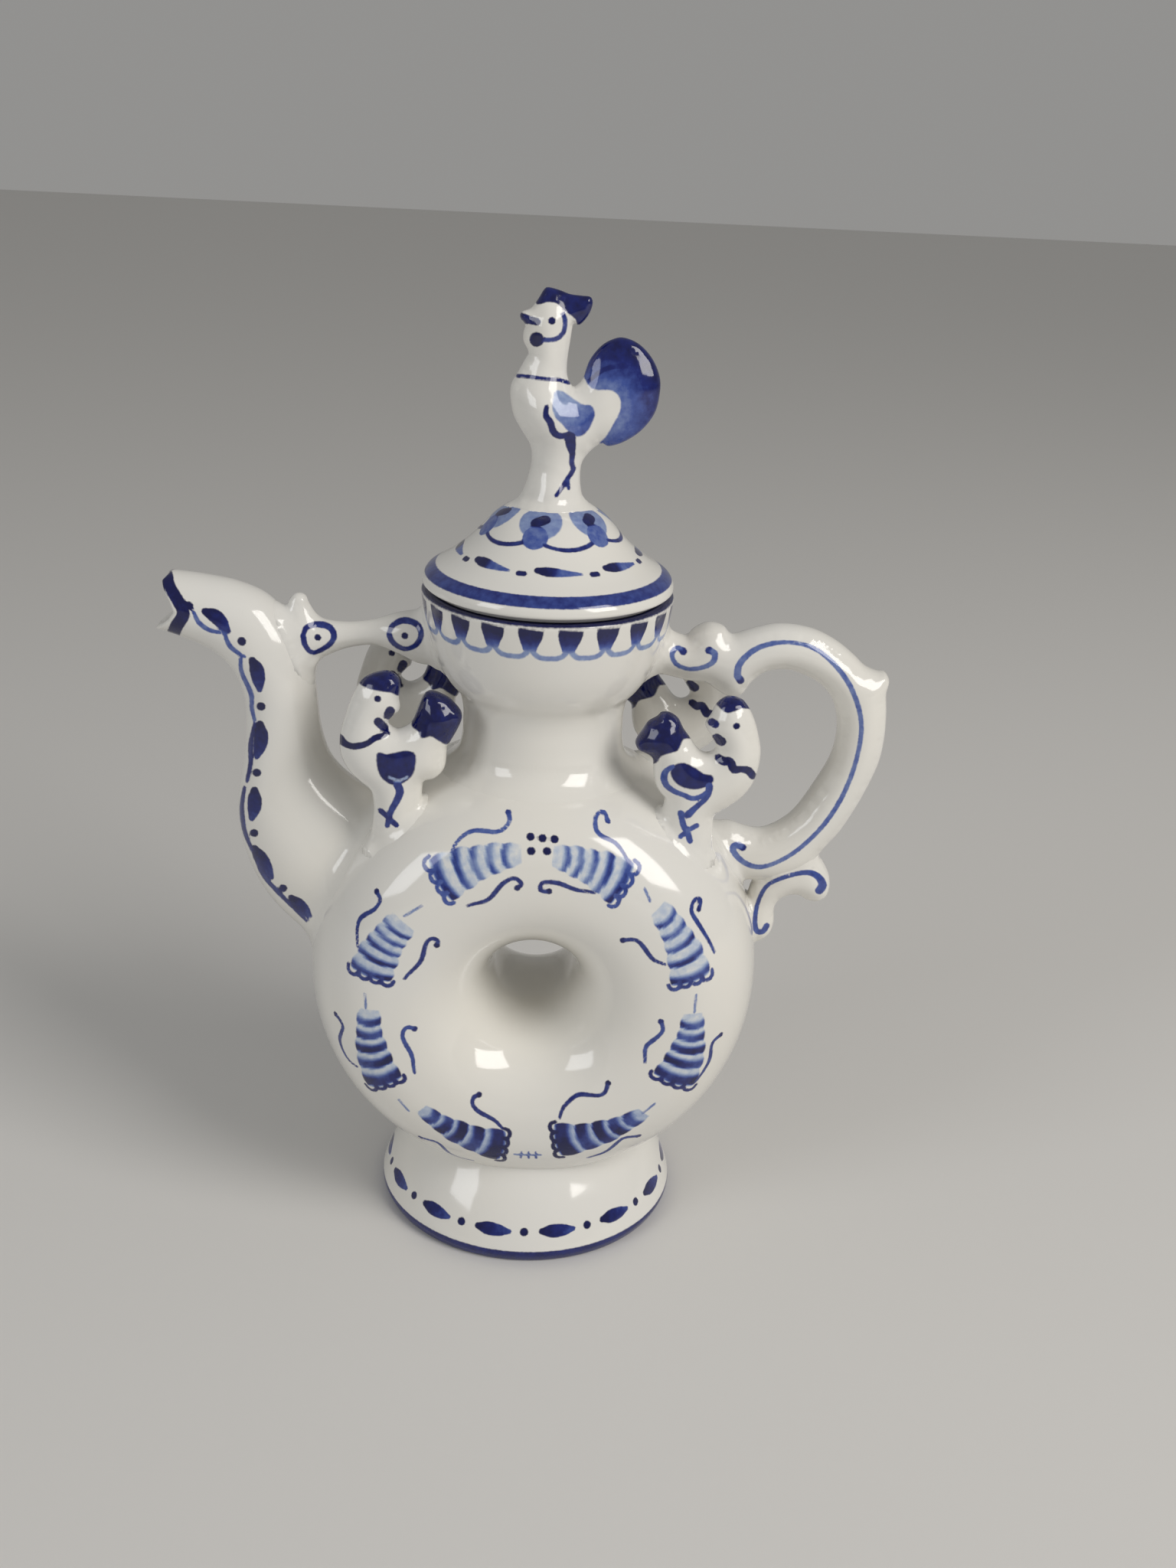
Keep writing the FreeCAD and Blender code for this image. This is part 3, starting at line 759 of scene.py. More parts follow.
edge_on = 0.35
mouth_edge = np.array([(131.0, -81.0), (132.6, -80.0), (133.6, -78.4), (135.2, -76.4), (137.3, -74.9), (139.5, -75.7),
                       (142.0, -77.2), (143.6, -77.7), (144.5, -76.6), (146.0, -75.5)])


def spout_skin(lower, upper, depth, around, inset):
    """Points round the spout's sections, that far inside its outer skin."""
    middle = (lower + upper) / 2
    half = (upper - lower) / 2
    size = np.linalg.norm(half, axis=1)
    half = half * ((size - inset) / size)[:, None]
    grid = np.empty((len(middle), len(around), 3))
    grid[:, :, 0] = middle[:, :1] + half[:, :1] * np.cos(around)
    grid[:, :, 1] = (depth - inset)[:, None] * np.sin(around)
    grid[:, :, 2] = middle[:, 1:] + half[:, 1:] * np.cos(around)
    return grid


def to_mouth(grid):
    """Shortens every lengthwise line of a spout's skin to the mouth's edge."""
    result = np.empty_like(grid)
    marks = np.arange(len(grid), dtype=float)
    for k in range(grid.shape[1]):
        line = grid[:, k]
        open_ = line[:, 0] - np.interp(line[:, 2], mouth_edge[:, 0], mouth_edge[:, 1])
        last = int(np.argmax(open_ < 0)) if (open_ < 0).any() else len(grid) - 1
        end = last - 1 + open_[last - 1] / max(open_[last - 1] - open_[last], 1e-6)
        spread = np.linspace(0, end, len(grid))
        result[:, k] = np.column_stack([np.interp(spread, marks, line[:, axis]) for axis in range(3)])
    return result


spaced = flowing([(*low, *high, depth) for low, high, depth in spout_rows], 0.75)
around = np.linspace(0, 2 * np.pi, spout_columns, endpoint=False)
outer_skin = to_mouth(spout_skin(spaced[:, :2], spaced[:, 2:4], spaced[:, 4], around, 0.0))
inner_skin = to_mouth(spout_skin(spaced[:, :2], spaced[:, 2:4], spaced[:, 4], around, spout_wall))
lip_middle = (outer_skin[-1] + inner_skin[-1]) / 2
lip_half = (outer_skin[-1] - inner_skin[-1]) / 2
lip_way = outer_skin[-1] - outer_skin[-3]
lip_way = lip_way / np.linalg.norm(lip_way, axis=1)[:, None]
lip = []
for bend in np.linspace(0, math.pi, 9)[1:-1]:
    lip.append(lip_middle + lip_half * math.cos(bend) + lip_way * lip_swell * math.sin(bend))
skin = np.concatenate([outer_skin, np.array(lip), inner_skin[::-4]])


def tube_faces(rows, columns):
    """Quads over a grid of points whose rows run round, joined end to end into a closed skin."""
    faces = []
    for row in range(rows):
        here = row * columns
        above = (row + 1) % rows * columns
        for column in range(columns):
            beside = (column + 1) % columns
            faces.append((here + column, here + beside, above + beside, above + column))
    return faces


spout = piece("spout_glazed", skin.reshape(-1, 3), tube_faces(len(skin), spout_columns))
lute(spout, ring_surface, 4.0)
painting = Painting(spout, 0.0, 6.0)

spout_marks = {
    "lines": [
        [(-62.4, 128.1), (-62.2, 125.1), (-60.5, 120.7), (-60.4, 117.4), (-59.9, 114.8)],
        [(-59.9, 114.0), (-60.9, 109.4), (-61.0, 105.4), (-61.9, 101.0)],
        [(-62.5, 99.5), (-63.2, 94.8), (-62.8, 89.5), (-61.3, 84.8)],
        [(-60.8, 83.9), (-59.3, 79.4), (-56.2, 75.3), (-52.4, 71.1), (-49.8, 68.2)],
        [(-71.5, 137.7), (-70.6, 135.6), (-68.6, 134.1), (-66.3, 133.6)],
        [(-65.5, 133.7), (-64.6, 131.0), (-62.6, 129.2), (-61.6, 128.7)],
    ],
    "drops": [
        [(-69.2, 137.9), (-66.9, 136.8), (-64.7, 134.0)],
        [(-60.0, 127.9), (-59.1, 125.8), (-58.7, 121.6)],
        [(-58.8, 114.0), (-58.7, 110.6), (-59.7, 106.6)],
        [(-60.4, 99.0), (-60.5, 95.5), (-61.2, 92.3)],
        [(-60.8, 85.4), (-59.2, 82.5), (-57.4, 78.6)],
        [(-53.2, 73.8), (-51.2, 71.7), (-49.3, 69.6)],
    ],
    "dots": [(-72.4, 139.0), (-62.0, 131.9), (-58.5, 117.9), (-59.8, 103.0), (-60.8, 89.0), (-54.9, 76.1)],
    "lip": [(-76.6, 145.4), (-76.2, 143.0), (-74.6, 140.0), (-73.6, 137.3), (-75.2, 134.4), (-76.6, 131.0)],
}
bridge_eyes = {
    (-46.5, 133.4): [
        (-49.5, 133.8), (-48.7, 135.5), (-46.4, 136.2), (-44.1, 135.7), (-43.2, 133.8), (-44.4, 131.8), (-47.5, 130.1),
        (-49.1, 131.6),
    ],
    (-28.8, 134.5): [
        (-32.1, 134.8), (-31.2, 136.7), (-28.9, 137.8), (-26.3, 137.0), (-25.5, 134.8), (-26.6, 132.6), (-28.9, 131.7),
        (-31.2, 133.0),
    ],
}


def paint_eyes(painting):
    """The ringed dots on both ends of the bridge; the outer one runs over the joint on to the spout."""
    for (x, height), eye in bridge_eyes.items():
        draw(painting, eye + eye[:1], [0.45, 0.75, 0.6, 0.5, 0.65], 0.78, 0.5)
        painting.dot("line", (x, 0, height), 0.75, 0.95)


for drawn in spout_marks["lines"]:
    draw(painting, drawn, [0.4, 0.55, 0.4], 0.8 if drawn[0][1] < 120 else 0.55)
for drawn in spout_marks["drops"]:
    draw(painting, drawn, [0.8, 1.5, 1.55, 1.3, 0.6], lambda along, across: 1.0 - 0.25 * along)
for x, height in spout_marks["dots"]:
    painting.dot("line", (x, 0, height), 0.95, 0.98)
paint_eyes(painting)
painting.depth["line"][np.abs(outward(spout.data)[:, 1]) < edge_on] = bare
draw(painting, spout_marks["lip"], 1.3, 1.0)
painting.depth["line"][(len(outer_skin) + len(lip)) * spout_columns:] = bare
painting.done()
finished(spout, "spout")


# Bridge: a pressed strut of porcelain with a small knob, luted between the spout and the collar so that neither sags
# in the kiln. A cobalt ring with a dot is painted on each end.
grid_across, grid_up = 0.6, 0.52
edge_insets = (0.05, 0.2, 0.45, 0.8)
joint_rounding = 0.8
pressing_rounds = 10


def pillowed(name, outline, depth, round_over, joined, middle=0.0):
    """A pressed piece from its (x, z) outline; both faces swell from the edge up to a half depth, given at places.

    Near the joined places (x, z, radius) it stays full up to its end, which lies inside the piece that carries it.
    """
    edge = flowing(outline, 0.5, closed=True)
    beside = np.roll(edge, -1, axis=0)
    ways = beside - np.roll(edge, 1, axis=0)
    inwards = np.column_stack([-ways[:, 1], ways[:, 0]]) / np.linalg.norm(ways, axis=1)[:, None]
    if (edge[:, 0] * beside[:, 1] - beside[:, 0] * edge[:, 1]).sum() < 0:
        inwards = -inwards
    low, high = edge.min(0), edge.max(0)
    across = np.arange(low[0], high[0], grid_across)
    rows = np.arange(low[1], high[1], grid_up)
    grid = np.array([(x + 0.3 * (k % 2), z) for k, z in enumerate(rows) for x in across])
    kept = [edge]
    for points, least in [(edge + inwards * inset, 0.8 * inset) for inset in edge_insets] + [(grid, 1.1)]:
        far, within = edge_distance(edge, points)
        kept.append(points[within & (far > least)])
    rim = [(k, (k + 1) % len(edge)) for k in range(len(edge))]
    laid = delaunay_2d_cdt([Vector(point) for point in np.vstack(kept)], rim, [], 1, 1e-5)
    flat = np.array([point[:] for point in laid[0]])
    ties = np.array(laid[1])
    far = edge_distance(edge, flat)[0]
    depth = np.asarray(depth, float)
    pull = (np.linalg.norm(flat[:, None] - depth[None, :, :2], axis=2) + 0.5) ** -3
    height = (pull * depth[:, 2]).sum(1) / pull.sum(1)
    held = np.zeros(len(edge), bool)
    for x, z, radius in joined:
        held |= np.linalg.norm((edge + beside) / 2 - (x, z), axis=1) < radius
    for counted, rounding in ((~held, round_over), (held, joint_rounding)):
        share = np.clip(edge_distance(edge, flat, counted)[0] / rounding, 0, 1)
        height = height * np.sqrt(1 - (1 - share) ** 2)
    shared = np.bincount(ties.ravel(), minlength=len(flat))
    for smoothing in range(pressing_rounds):
        around_it = np.bincount(ties[:, 0], height[ties[:, 1]], len(flat))
        around_it = around_it + np.bincount(ties[:, 1], height[ties[:, 0]], len(flat))
        height = np.where(far > 0.8, 0.4 * height + 0.6 * around_it / np.maximum(shared, 1), height)
    inner = np.flatnonzero(far > 1e-3)
    mirrored = np.arange(len(flat))
    mirrored[inner] = len(flat) + np.arange(len(inner))
    height = np.where(far > 1e-3, height, 0)
    front = np.column_stack([flat[:, 0], middle - height, flat[:, 1]])
    back = np.column_stack([flat[inner, 0], middle + height[inner], flat[inner, 1]])
    faces = [tuple(face) for face in laid[2]]
    faces += [tuple(int(mirrored[k]) for k in reversed(face)) for face in laid[2]]
    return piece(name, np.vstack([front, back]), faces)


bridge_outline = [
    (-55.8, 136.8), (-53.6, 138.0), (-52.9, 139.8), (-51.5, 140.9), (-49.8, 140.5), (-48.9, 138.6), (-47.3, 136.3),
    (-45.0, 135.3), (-40.2, 135.2), (-35.5, 136.0), (-30.7, 137.6), (-26.0, 138.3), (-22.6, 138.5), (-19.8, 127.2),
    (-22.7, 126.6), (-26.7, 127.1), (-30.7, 128.9), (-35.5, 130.4), (-40.3, 129.8), (-44.2, 128.3), (-47.0, 126.5),
    (-48.3, 123.9), (-49.9, 123.4), (-50.4, 126.0), (-52.3, 131.0), (-54.2, 135.0),
]
bridge_depth = [(-50, 131, 4.4), (-51.2, 139, 3.0), (-38, 133, 3.1), (-25, 132, 4.6)]
bridge_ends = [(-53.0, 130.0, 7.5), (-22.0, 132.5, 6.2)]
bridge = pillowed("spout_bridge_glazed", bridge_outline, bridge_depth, 4.2, bridge_ends)
lute(bridge, near_surface(spout, collar), 3.0)
painting = Painting(bridge, 0.0, 6.0)
paint_eyes(painting)
painting.done()
finished(bridge, "spout_bridge")


# Handle: a pressed scroll of solid porcelain with a boss, a nose and a spur, luted to the collar and to the ring.
# One long cobalt line follows it, and a curl is painted on the boss.
handle_outline = [
    (23.4, 137.0), (25.6, 136.2), (28.1, 135.3), (29.4, 135.3), (30.4, 136.5), (32.4, 137.8), (34.3, 138.2),
    (36.7, 137.6), (38.1, 136.2), (39.2, 135.9), (42.3, 137.0), (45.5, 138.0), (48.6, 138.5), (52.6, 138.3),
    (56.7, 137.3), (60.9, 135.2), (64.5, 132.5), (67.1, 130.2), (69.7, 129.1), (71.3, 129.0), (72.2, 128.0),
    (72.5, 126.9), (72.2, 124.3), (72.7, 120.0), (72.9, 114.8), (72.4, 109.4), (70.8, 104.0), (68.6, 98.5),
    (65.8, 92.9), (63.2, 89.2), (61.4, 86.5), (61.0, 85.4), (58.5, 82.8), (55.5, 81.2), (52.0, 80.3), (48.5, 80.0),
    (46.0, 80.2), (44.0, 80.6), (41.0, 82.4), (37.5, 86.0), (35.2, 90.8), (38.0, 92.7), (39.3, 93.1), (41.8, 93.2),
    (44.4, 92.4), (47.0, 91.8), (49.5, 92.1), (52.7, 93.9), (55.7, 97.1), (59.3, 103.6), (61.7, 109.0), (62.6, 114.3),
    (62.2, 118.7), (60.6, 122.9), (57.9, 125.9), (54.4, 127.8), (51.1, 128.8), (47.9, 128.7), (45.5, 127.8),
    (43.3, 125.6), (41.9, 123.3), (40.0, 122.4), (37.9, 122.8), (35.7, 124.1), (33.6, 125.4), (30.4, 125.6),
    (25.5, 126.6), (23.0, 126.8), (19.9, 127.9),
]
handle_depth = [(0, 0, 5.4)]
handle_ends = [(22.0, 132.0, 5.6), (38.5, 85.5, 6.5)]
handle = pillowed("handle_glazed", handle_outline, handle_depth, 5.2, handle_ends)
lute(handle, near_surface(collar, *ring_halves.values()), 2.5)
painting = Painting(handle, 0.0, 5.0)
boss_curl = [
    (28.3, 133.3), (27.1, 134.0), (26.0, 132.8), (26.9, 130.6), (29.7, 129.5), (32.9, 130.1), (34.7, 131.4),
    (34.8, 133.1), (33.6, 133.7),
]
handle_line = [
    (40.6, 127.5), (39.8, 128.9), (40.5, 131.7), (43.7, 134.7), (48.7, 136.1), (54.4, 135.4), (59.3, 132.2),
    (63.6, 127.0), (66.5, 120.1), (66.8, 113.0), (65.1, 104.2), (61.6, 96.2), (56.4, 89.6), (51.3, 85.9), (47.5, 84.9),
    (44.0, 86.4), (42.0, 89.0), (42.9, 90.1), (44.2, 89.4),
]
bracket_line = [
    (51.0, 70.7), (50.3, 69.2), (48.9, 69.3), (48.3, 72.3), (48.7, 76.7), (50.3, 80.5), (54.1, 82.8), (58.4, 84.0),
    (60.9, 83.3), (62.4, 81.2), (61.8, 79.8),
]
boss_brush = [0.6, 0.5, 0.45, 0.55, 0.75]
handle_brush = [0.8, 0.45, 0.55, 0.5, 0.55, 0.5, 0.75]
bracket_brush = [0.7, 0.5, 0.5, 0.6, 1.0]
for drawn, brush in ((boss_curl, boss_brush), (handle_line, handle_brush)):
    draw(painting, drawn, brush, 0.52)
    for x, height in (drawn[0], drawn[-1]):
        painting.dot("line", (x, 0, height), 0.85, 0.8)
draw(painting, bracket_line, bracket_brush, 0.66)
painting.done()
finished(handle, "handle")


# Bracket: a small, pressed S-shaped scroll of porcelain, luted under the handle and to the ring.
# A single cobalt line runs along it and on to the handle.
bracket_outline = [
    (60.0, 87.0), (61.6, 86.0), (62.8, 84.5), (64.3, 81.7), (64.8, 78.9), (64.2, 76.5), (62.2, 75.2), (59.8, 75.5),
    (57.6, 76.6), (55.3, 76.2), (53.7, 74.9), (53.0, 72.7), (53.2, 69.9), (52.8, 67.5), (51.5, 65.7), (49.4, 64.7),
    (46.9, 65.5), (46.2, 70.0), (46.5, 74.5), (46.9, 76.5), (47.4, 78.6), (48.5, 81.0), (52.0, 83.0), (56.0, 84.5),
]
bracket_depth = [(0, 0, 4.4)]
bracket_ends = [(46.3, 71.0, 5.5), (55.0, 84.8, 6.0)]
bracket = pillowed("handle_bracket_glazed", bracket_outline, bracket_depth, 4.4, bracket_ends)
lute(bracket, near_surface(handle, *ring_halves.values()), 1.2)
painting = Painting(bracket, 0.0, 5.0)
draw(painting, bracket_line, bracket_brush, 0.66)
painting.done()
finished(bracket, "handle_bracket")


# Birds: four press-moulded birds of porcelain, luted on the ring's shoulders, each looking inwards over its own tail;
# the two on the handle's side crouch lower. Cap, eye, necklace and tail are painted on both faces, and wing and leg on
# the outer face alone.
bird_middle = 14.5
bird_depth = [(0, 0, 4.5)]
# Places are given inwards from the middle of the leg, and above the shoulder.
bird_drawings = {
    -1: {
        "outline": [
            (-5.2, -3.0), (-4.9, 0.0), (-4.4, 4.6), (-4.4, 7.1), (-5.0, 10.0), (-7.3, 12.1), (-9.3, 14.2),
            (-10.8, 17.0), (-11.2, 19.4), (-11.0, 22.7), (-10.1, 26.0), (-8.7, 30.1), (-6.9, 33.4), (-4.9, 34.9),
            (-2.3, 35.7), (-1.1, 35.6), (0.1, 35.0), (1.0, 33.8), (1.1, 32.2), (0.8, 30.2), (1.0, 28.9), (0.9, 27.6),
            (-0.1, 26.6), (-1.0, 25.6), (-1.3, 24.8), (-0.8, 24.0), (0.4, 23.4), (1.9, 23.9), (3.1, 24.8), (3.9, 26.1),
            (4.9, 29.1), (6.1, 31.4), (7.5, 31.8), (9.5, 31.2), (11.8, 29.7), (13.6, 26.5), (11.3, 21.2), (10.7, 20.3),
            (10.6, 18.7), (10.4, 16.2), (9.7, 14.5), (8.2, 13.1), (6.0, 12.1), (5.6, 8.0), (5.6, 4.6), (6.0, 0.0),
            (6.2, -3.0),
        ],
        "patches": [
            (0.93, [
                (-6.8, 34.2), (-4.7, 33.0), (-2.5, 32.6), (-0.6, 32.4), (1.6, 32.1), (2.0, 37.0), (-3.0, 38.0),
                (-7.5, 37.0),
            ]),
            (0.97, [
                (3.6, 25.8), (4.8, 29.0), (5.7, 31.4), (6.9, 33.2), (9.1, 33.0), (11.6, 31.6), (13.9, 29.6),
                (14.6, 27.6), (12.8, 24.2), (10.9, 21.8), (9.0, 22.6), (7.5, 23.4), (5.7, 22.9), (5.0, 24.3),
            ]),
        ],
        "wing": [
            (-3.4, 18.9), (-2.8, 19.5), (-1.3, 19.2), (0.4, 19.6), (2.4, 20.1), (4.1, 19.8), (4.6, 18.7), (4.5, 17.1),
            (4.1, 15.2), (2.9, 13.6), (1.1, 12.6), (-0.6, 12.6), (-2.3, 13.9), (-3.2, 16.0),
        ],
        "outer_strokes": [
            ([(0.9, 12.4), (1.4, 11.1), (0.8, 9.2), (-0.3, 6.9), (-0.8, 5.3), (-1.2, 3.3)], [0.9, 0.7, 0.55], 0.75),
            ([(-2.6, 6.7), (-1.3, 5.5), (-0.3, 4.5), (0.7, 3.5)], 0.6, 0.78),
            ([(-0.9, 14.2), (1.1, 13.5), (3.0, 14.4)], 0.3, 0.25),
        ],
        "strokes": [
            ([(-10.8, 22.3), (-9.8, 21.2), (-8.0, 20.6), (-5.5, 21.2), (-3.8, 22.5), (-2.1, 23.2), (-1.0, 23.8)],
             [0.9, 0.7, 0.75, 0.6, 0.7, 0.5], 0.95),
            ([(-0.6, 28.6), (-1.0, 27.6)], 0.95, 0.97),
            ([(-3.0, 26.1), (-1.9, 25.0)], 0.95, 0.95),
        ],
        "eye": [(-3.1, 31.0)],
    },
    1: {
        "outline": [
            (6.2, -3.0), (5.4, 0.0), (4.8, 2.8), (4.7, 6.7), (4.3, 10.4), (5.3, 11.8), (6.3, 13.5), (6.8, 15.5),
            (7.0, 17.2), (7.2, 19.0), (8.0, 20.0), (9.2, 20.6), (10.4, 21.2), (11.0, 22.5), (10.7, 23.6), (9.7, 25.3),
            (8.7, 27.0), (6.9, 28.2), (6.1, 29.1), (4.7, 29.3), (3.3, 28.7), (2.3, 27.8), (1.3, 25.9), (0.0, 24.2),
            (-1.0, 22.8), (-2.0, 21.6), (-3.2, 20.9), (-4.3, 20.9), (-5.2, 21.5), (-5.5, 22.5), (-5.2, 23.4),
            (-4.4, 24.6), (-3.6, 25.8), (-3.0, 27.0), (-3.2, 27.8), (-4.1, 29.3), (-4.7, 31.0), (-5.6, 32.2),
            (-6.9, 33.1), (-8.2, 33.2), (-10.1, 32.7), (-11.3, 31.5), (-12.1, 30.3), (-13.1, 28.2), (-13.9, 25.8),
            (-14.7, 22.6), (-14.8, 19.9), (-14.4, 16.9), (-13.5, 14.2), (-11.8, 11.7), (-9.4, 9.6), (-7.4, 8.1),
            (-6.3, 6.9), (-6.3, 3.3), (-6.4, 0.0), (-6.6, -3.0),
        ],
        "patches": [
            (0.93, [
                (-4.3, 33.2), (-5.3, 32.0), (-6.8, 30.9), (-8.5, 31.4), (-9.6, 32.0), (-10.9, 32.0), (-12.5, 32.2),
                (-11.5, 35.5), (-7.8, 36.5), (-4.5, 35.5),
            ]),
            (0.97, [
                (6.4, 31.2), (5.0, 31.4), (3.2, 30.6), (2.0, 29.4), (1.0, 27.3), (0.0, 25.3), (1.5, 24.9), (2.0, 23.5),
                (2.6, 22.3), (4.2, 21.7), (5.8, 21.0), (6.6, 19.6), (8.0, 19.4), (9.6, 20.4), (11.0, 21.3),
                (12.3, 23.9), (11.5, 25.6), (10.4, 27.2), (9.4, 28.8), (7.7, 30.3),
            ]),
        ],
        "wing": [
            (2.9, 19.3), (1.1, 19.8), (-1.3, 18.8), (-3.2, 17.6), (-5.0, 17.2), (-5.2, 15.9), (-4.3, 14.9),
            (-2.1, 14.1), (0.3, 14.2), (2.2, 15.1), (3.4, 16.6), (3.6, 18.1),
        ],
        "outer_strokes": [
            ([
                (3.3, 18.9), (4.6, 17.8), (4.9, 16.3), (4.2, 14.6), (2.5, 13.4), (0.6, 12.7), (-1.3, 12.0),
                (-3.1, 12.6), (-4.4, 13.8),
            ], [0.5, 0.75, 0.6, 0.55, 0.6, 0.5], 0.6),
            ([(-4.5, 14.9), (-4.4, 13.2), (-3.8, 11.9), (-2.3, 10.3), (-0.6, 8.4)], [0.8, 0.6, 0.6, 0.85], 0.68),
            ([(1.0, 8.7), (0.2, 5.9), (-0.9, 3.9), (-1.4, 2.4)], 0.65, 0.6),
            ([(-2.6, 6.0), (-1.1, 5.0), (0.7, 3.3)], 0.55, 0.6),
        ],
        "strokes": [
            ([(-5.8, 21.3), (-7.1, 20.4), (-8.2, 20.6), (-9.3, 18.8), (-10.6, 18.9), (-12.2, 18.6), (-13.2, 17.5)],
             [0.8, 0.95, 0.85, 1.0, 0.7, 0.9, 0.8], 0.97),
            ([(-3.9, 28.9), (-4.7, 28.4)], 0.85, 0.85),
            ([(-5.1, 25.5), (-6.3, 24.7)], 0.95, 0.97),
        ],
        "eye": [(-9.0, 28.2)],
    },
}
# For each bird: -1 on the spout's side or 1 on the handle's, -1 in front or 1 behind, and the x and height of its leg.
bird_feet = {
    "front_left": (-1, -1, 30.0, 94.0), "front_right": (1, -1, 30.0, 94.0),
    "back_left": (-1, 1, 30.0, 94.0), "back_right": (1, 1, 26.5, 95.2),
}
for name, (hand, side, leg_x, leg_height) in bird_feet.items():
    drawing = bird_drawings[hand]

    def standing(points):
        """A drawing's points, where this bird stands."""
        return [(hand * (leg_x - inwards), leg_height + above) for inwards, above in points]

    leg_end = [(hand * leg_x, leg_height - 4, 6.5)]
    outline = standing(drawing["outline"])
    bird = pillowed("bird_" + name + "_glazed", outline, bird_depth, 5.6, leg_end, bird_middle * side)
    lute(bird, ring_surface, 2.0)
    painting = Painting(bird, bird_middle * side, 3.5)
    painting.patch("wash", standing(drawing["wing"]), 0.93)
    for drawn, brush, tone in drawing["outer_strokes"]:
        draw(painting, standing(drawn), brush, tone, 0.5)
    inner_face = places(bird.data)[:, 1] * side < bird_middle
    for layer in stroke_edges:
        painting.depth[layer][inner_face] = bare
    for tone, patch in drawing["patches"]:
        painting.patch("wash", standing(patch), tone)
    for drawn, brush, tone in drawing["strokes"]:
        draw(painting, standing(drawn), brush, tone, 0.5)
    painting.dot("line", upright(standing(drawing["eye"]))[0], 0.75, 1.0)
    painting.done()
    finished(bird, "bird_" + name)


# Lid: a turned, bell-shaped lid of porcelain that lies loose on the collar's rim, with a flange that drops into it.
# It is painted with petals and swags round the knob, a ring of leaf drops and a cobalt band inside the white edge.
lid_outside = flowing(
    [
        (25.75, 145.5), (25.6, 146.6), (24.8, 147.9), (23.2, 149.0), (20.4, 150.8), (17.5, 153.1), (15.0, 155.5),
        (13.0, 157.8), (11.0, 159.8), (8.6, 161.3), (6.0, 162.0), (0.0, 162.3),
    ], 0.45)
lid_profile = np.vstack([
    lid_outside[::-1],
    [
        (25.4, 145.1), (24.6, 145.0), (24.1, 144.3), (23.8, 144.08), (22.4, 144.08), (22.1, 143.8), (21.2, 139.3),
        (20.9, 139.1), (18.8, 139.1), (18.5, 139.4),
    ],
    flowing([(18.4, 142.8), (15.3, 150.2), (9.0, 157.0), (0.0, 159.4)], 1.0),
])
lid_turns = 360
lid_petals = 6
first_petal = -11
petal_radius = 10.2
blob_radius = 13.0
lid_leaves = 8
lid_leaf_brush = [0.7, 1.15, 1.1, 0.85, 0.6, 0.3]
lid_dot_radius = 18.8
lid_band_radius = 24.3


def on_lid(clock, radius):
    """A point of the lid's top at an angle from the front, to the right, and a distance from its middle."""
    return on_turned(lid_outside, clock, radius, by_height=False)


lid = turn("lid_glazed", lid_profile, lid_turns)
painting = Painting(lid)
for k in range(lid_petals):
    clock = first_petal + 360 / lid_petals * k
    painting.dot("wash", on_lid([clock], [petal_radius])[0], 4.3, 0.4)
    painting.dot("line", on_lid([clock - 2], [blob_radius])[0], 2.6, 0.56)
    painting.stroke("line", on_lid(clock + np.linspace(-4, 4, 5), np.linspace(10.5, 9.7, 5)), 1.25, 0.97)
    swag = on_lid(clock + 27 + 26 * swag_span, 14.6 - 1.1 * swag_span**2)
    painting.stroke("line", swag, [0.45, 0.4, 0.5, 0.5, 0.5], 0.82)
for k in range(lid_leaves):
    clock = 360 / lid_leaves * k
    leaf = on_lid(clock + np.linspace(-6.9, 20.4, 24), np.linspace(18.0, 18.6, 24))
    painting.stroke("line", leaf, lid_leaf_brush, lambda along, across: 0.98 - 0.4 * np.clip(6 * along - 2, 0, 1))
    painting.stroke("line", on_lid(clock + np.linspace(27.0, 30.4, 4), np.full(4, lid_dot_radius)), 0.62, 0.95)
painting.stroke("line", on_lid(all_round, np.full(len(all_round), lid_band_radius)), 1.45, 0.74)
painting.done()
finished(lid, "lid", "lid")


# Rooster: a press-moulded figure of porcelain, luted on the lid as its knob; it looks towards the spout.
# Comb, face, neck ring, wing, legs and tail are painted on both faces.
rooster_outline = [
    (-6.9, 161.4), (-6.5, 162.8), (-5.1, 166.6), (-4.3, 170.5), (-4.7, 173.5), (-6.6, 176.5), (-8.2, 179.4),
    (-8.9, 183.1), (-8.7, 185.4), (-7.7, 187.2), (-6.3, 189.9), (-5.6, 191.4), (-6.6, 193.5), (-6.7, 195.0),
    (-6.4, 196.7), (-7.3, 197.7), (-7.2, 198.9), (-5.3, 199.8), (-4.0, 201.6), (-3.0, 203.3), (-2.2, 203.8),
    (-0.1, 203.4), (2.1, 202.7), (4.4, 202.5), (6.1, 202.3), (6.5, 200.9), (5.7, 198.7), (4.2, 197.0), (3.1, 197.2),
    (2.8, 196.4), (2.5, 193.9), (2.1, 190.3), (2.2, 187.3), (3.3, 185.3), (4.5, 185.9), (5.3, 187.0), (6.4, 190.4),
    (8.5, 193.2), (10.7, 194.6), (12.9, 195.0), (15.9, 193.9), (18.6, 191.3), (20.3, 187.8), (20.5, 184.4),
    (19.7, 180.6), (17.3, 177.2), (14.0, 174.8), (11.0, 173.8), (9.4, 174.3), (7.2, 172.5), (5.8, 170.2), (5.6, 167.1),
    (6.1, 164.0), (6.9, 162.4), (7.1, 161.4),
]
rooster_depth = [
    (0, 163, 6.4), (0.5, 170, 5.0), (-1, 180, 7.0), (-2, 190, 4.2), (-1.5, 197, 4.3), (2, 202, 2.2), (5.5, 200, 2.0),
    (8, 182, 4.2), (14, 185, 3.5), (12, 193, 3.0), (16, 178, 3.2),
]
rooster_foot = [(0.0, 160.0, 7.2)]
rooster = pillowed("rooster_glazed", rooster_outline, rooster_depth, 6.5, rooster_foot)
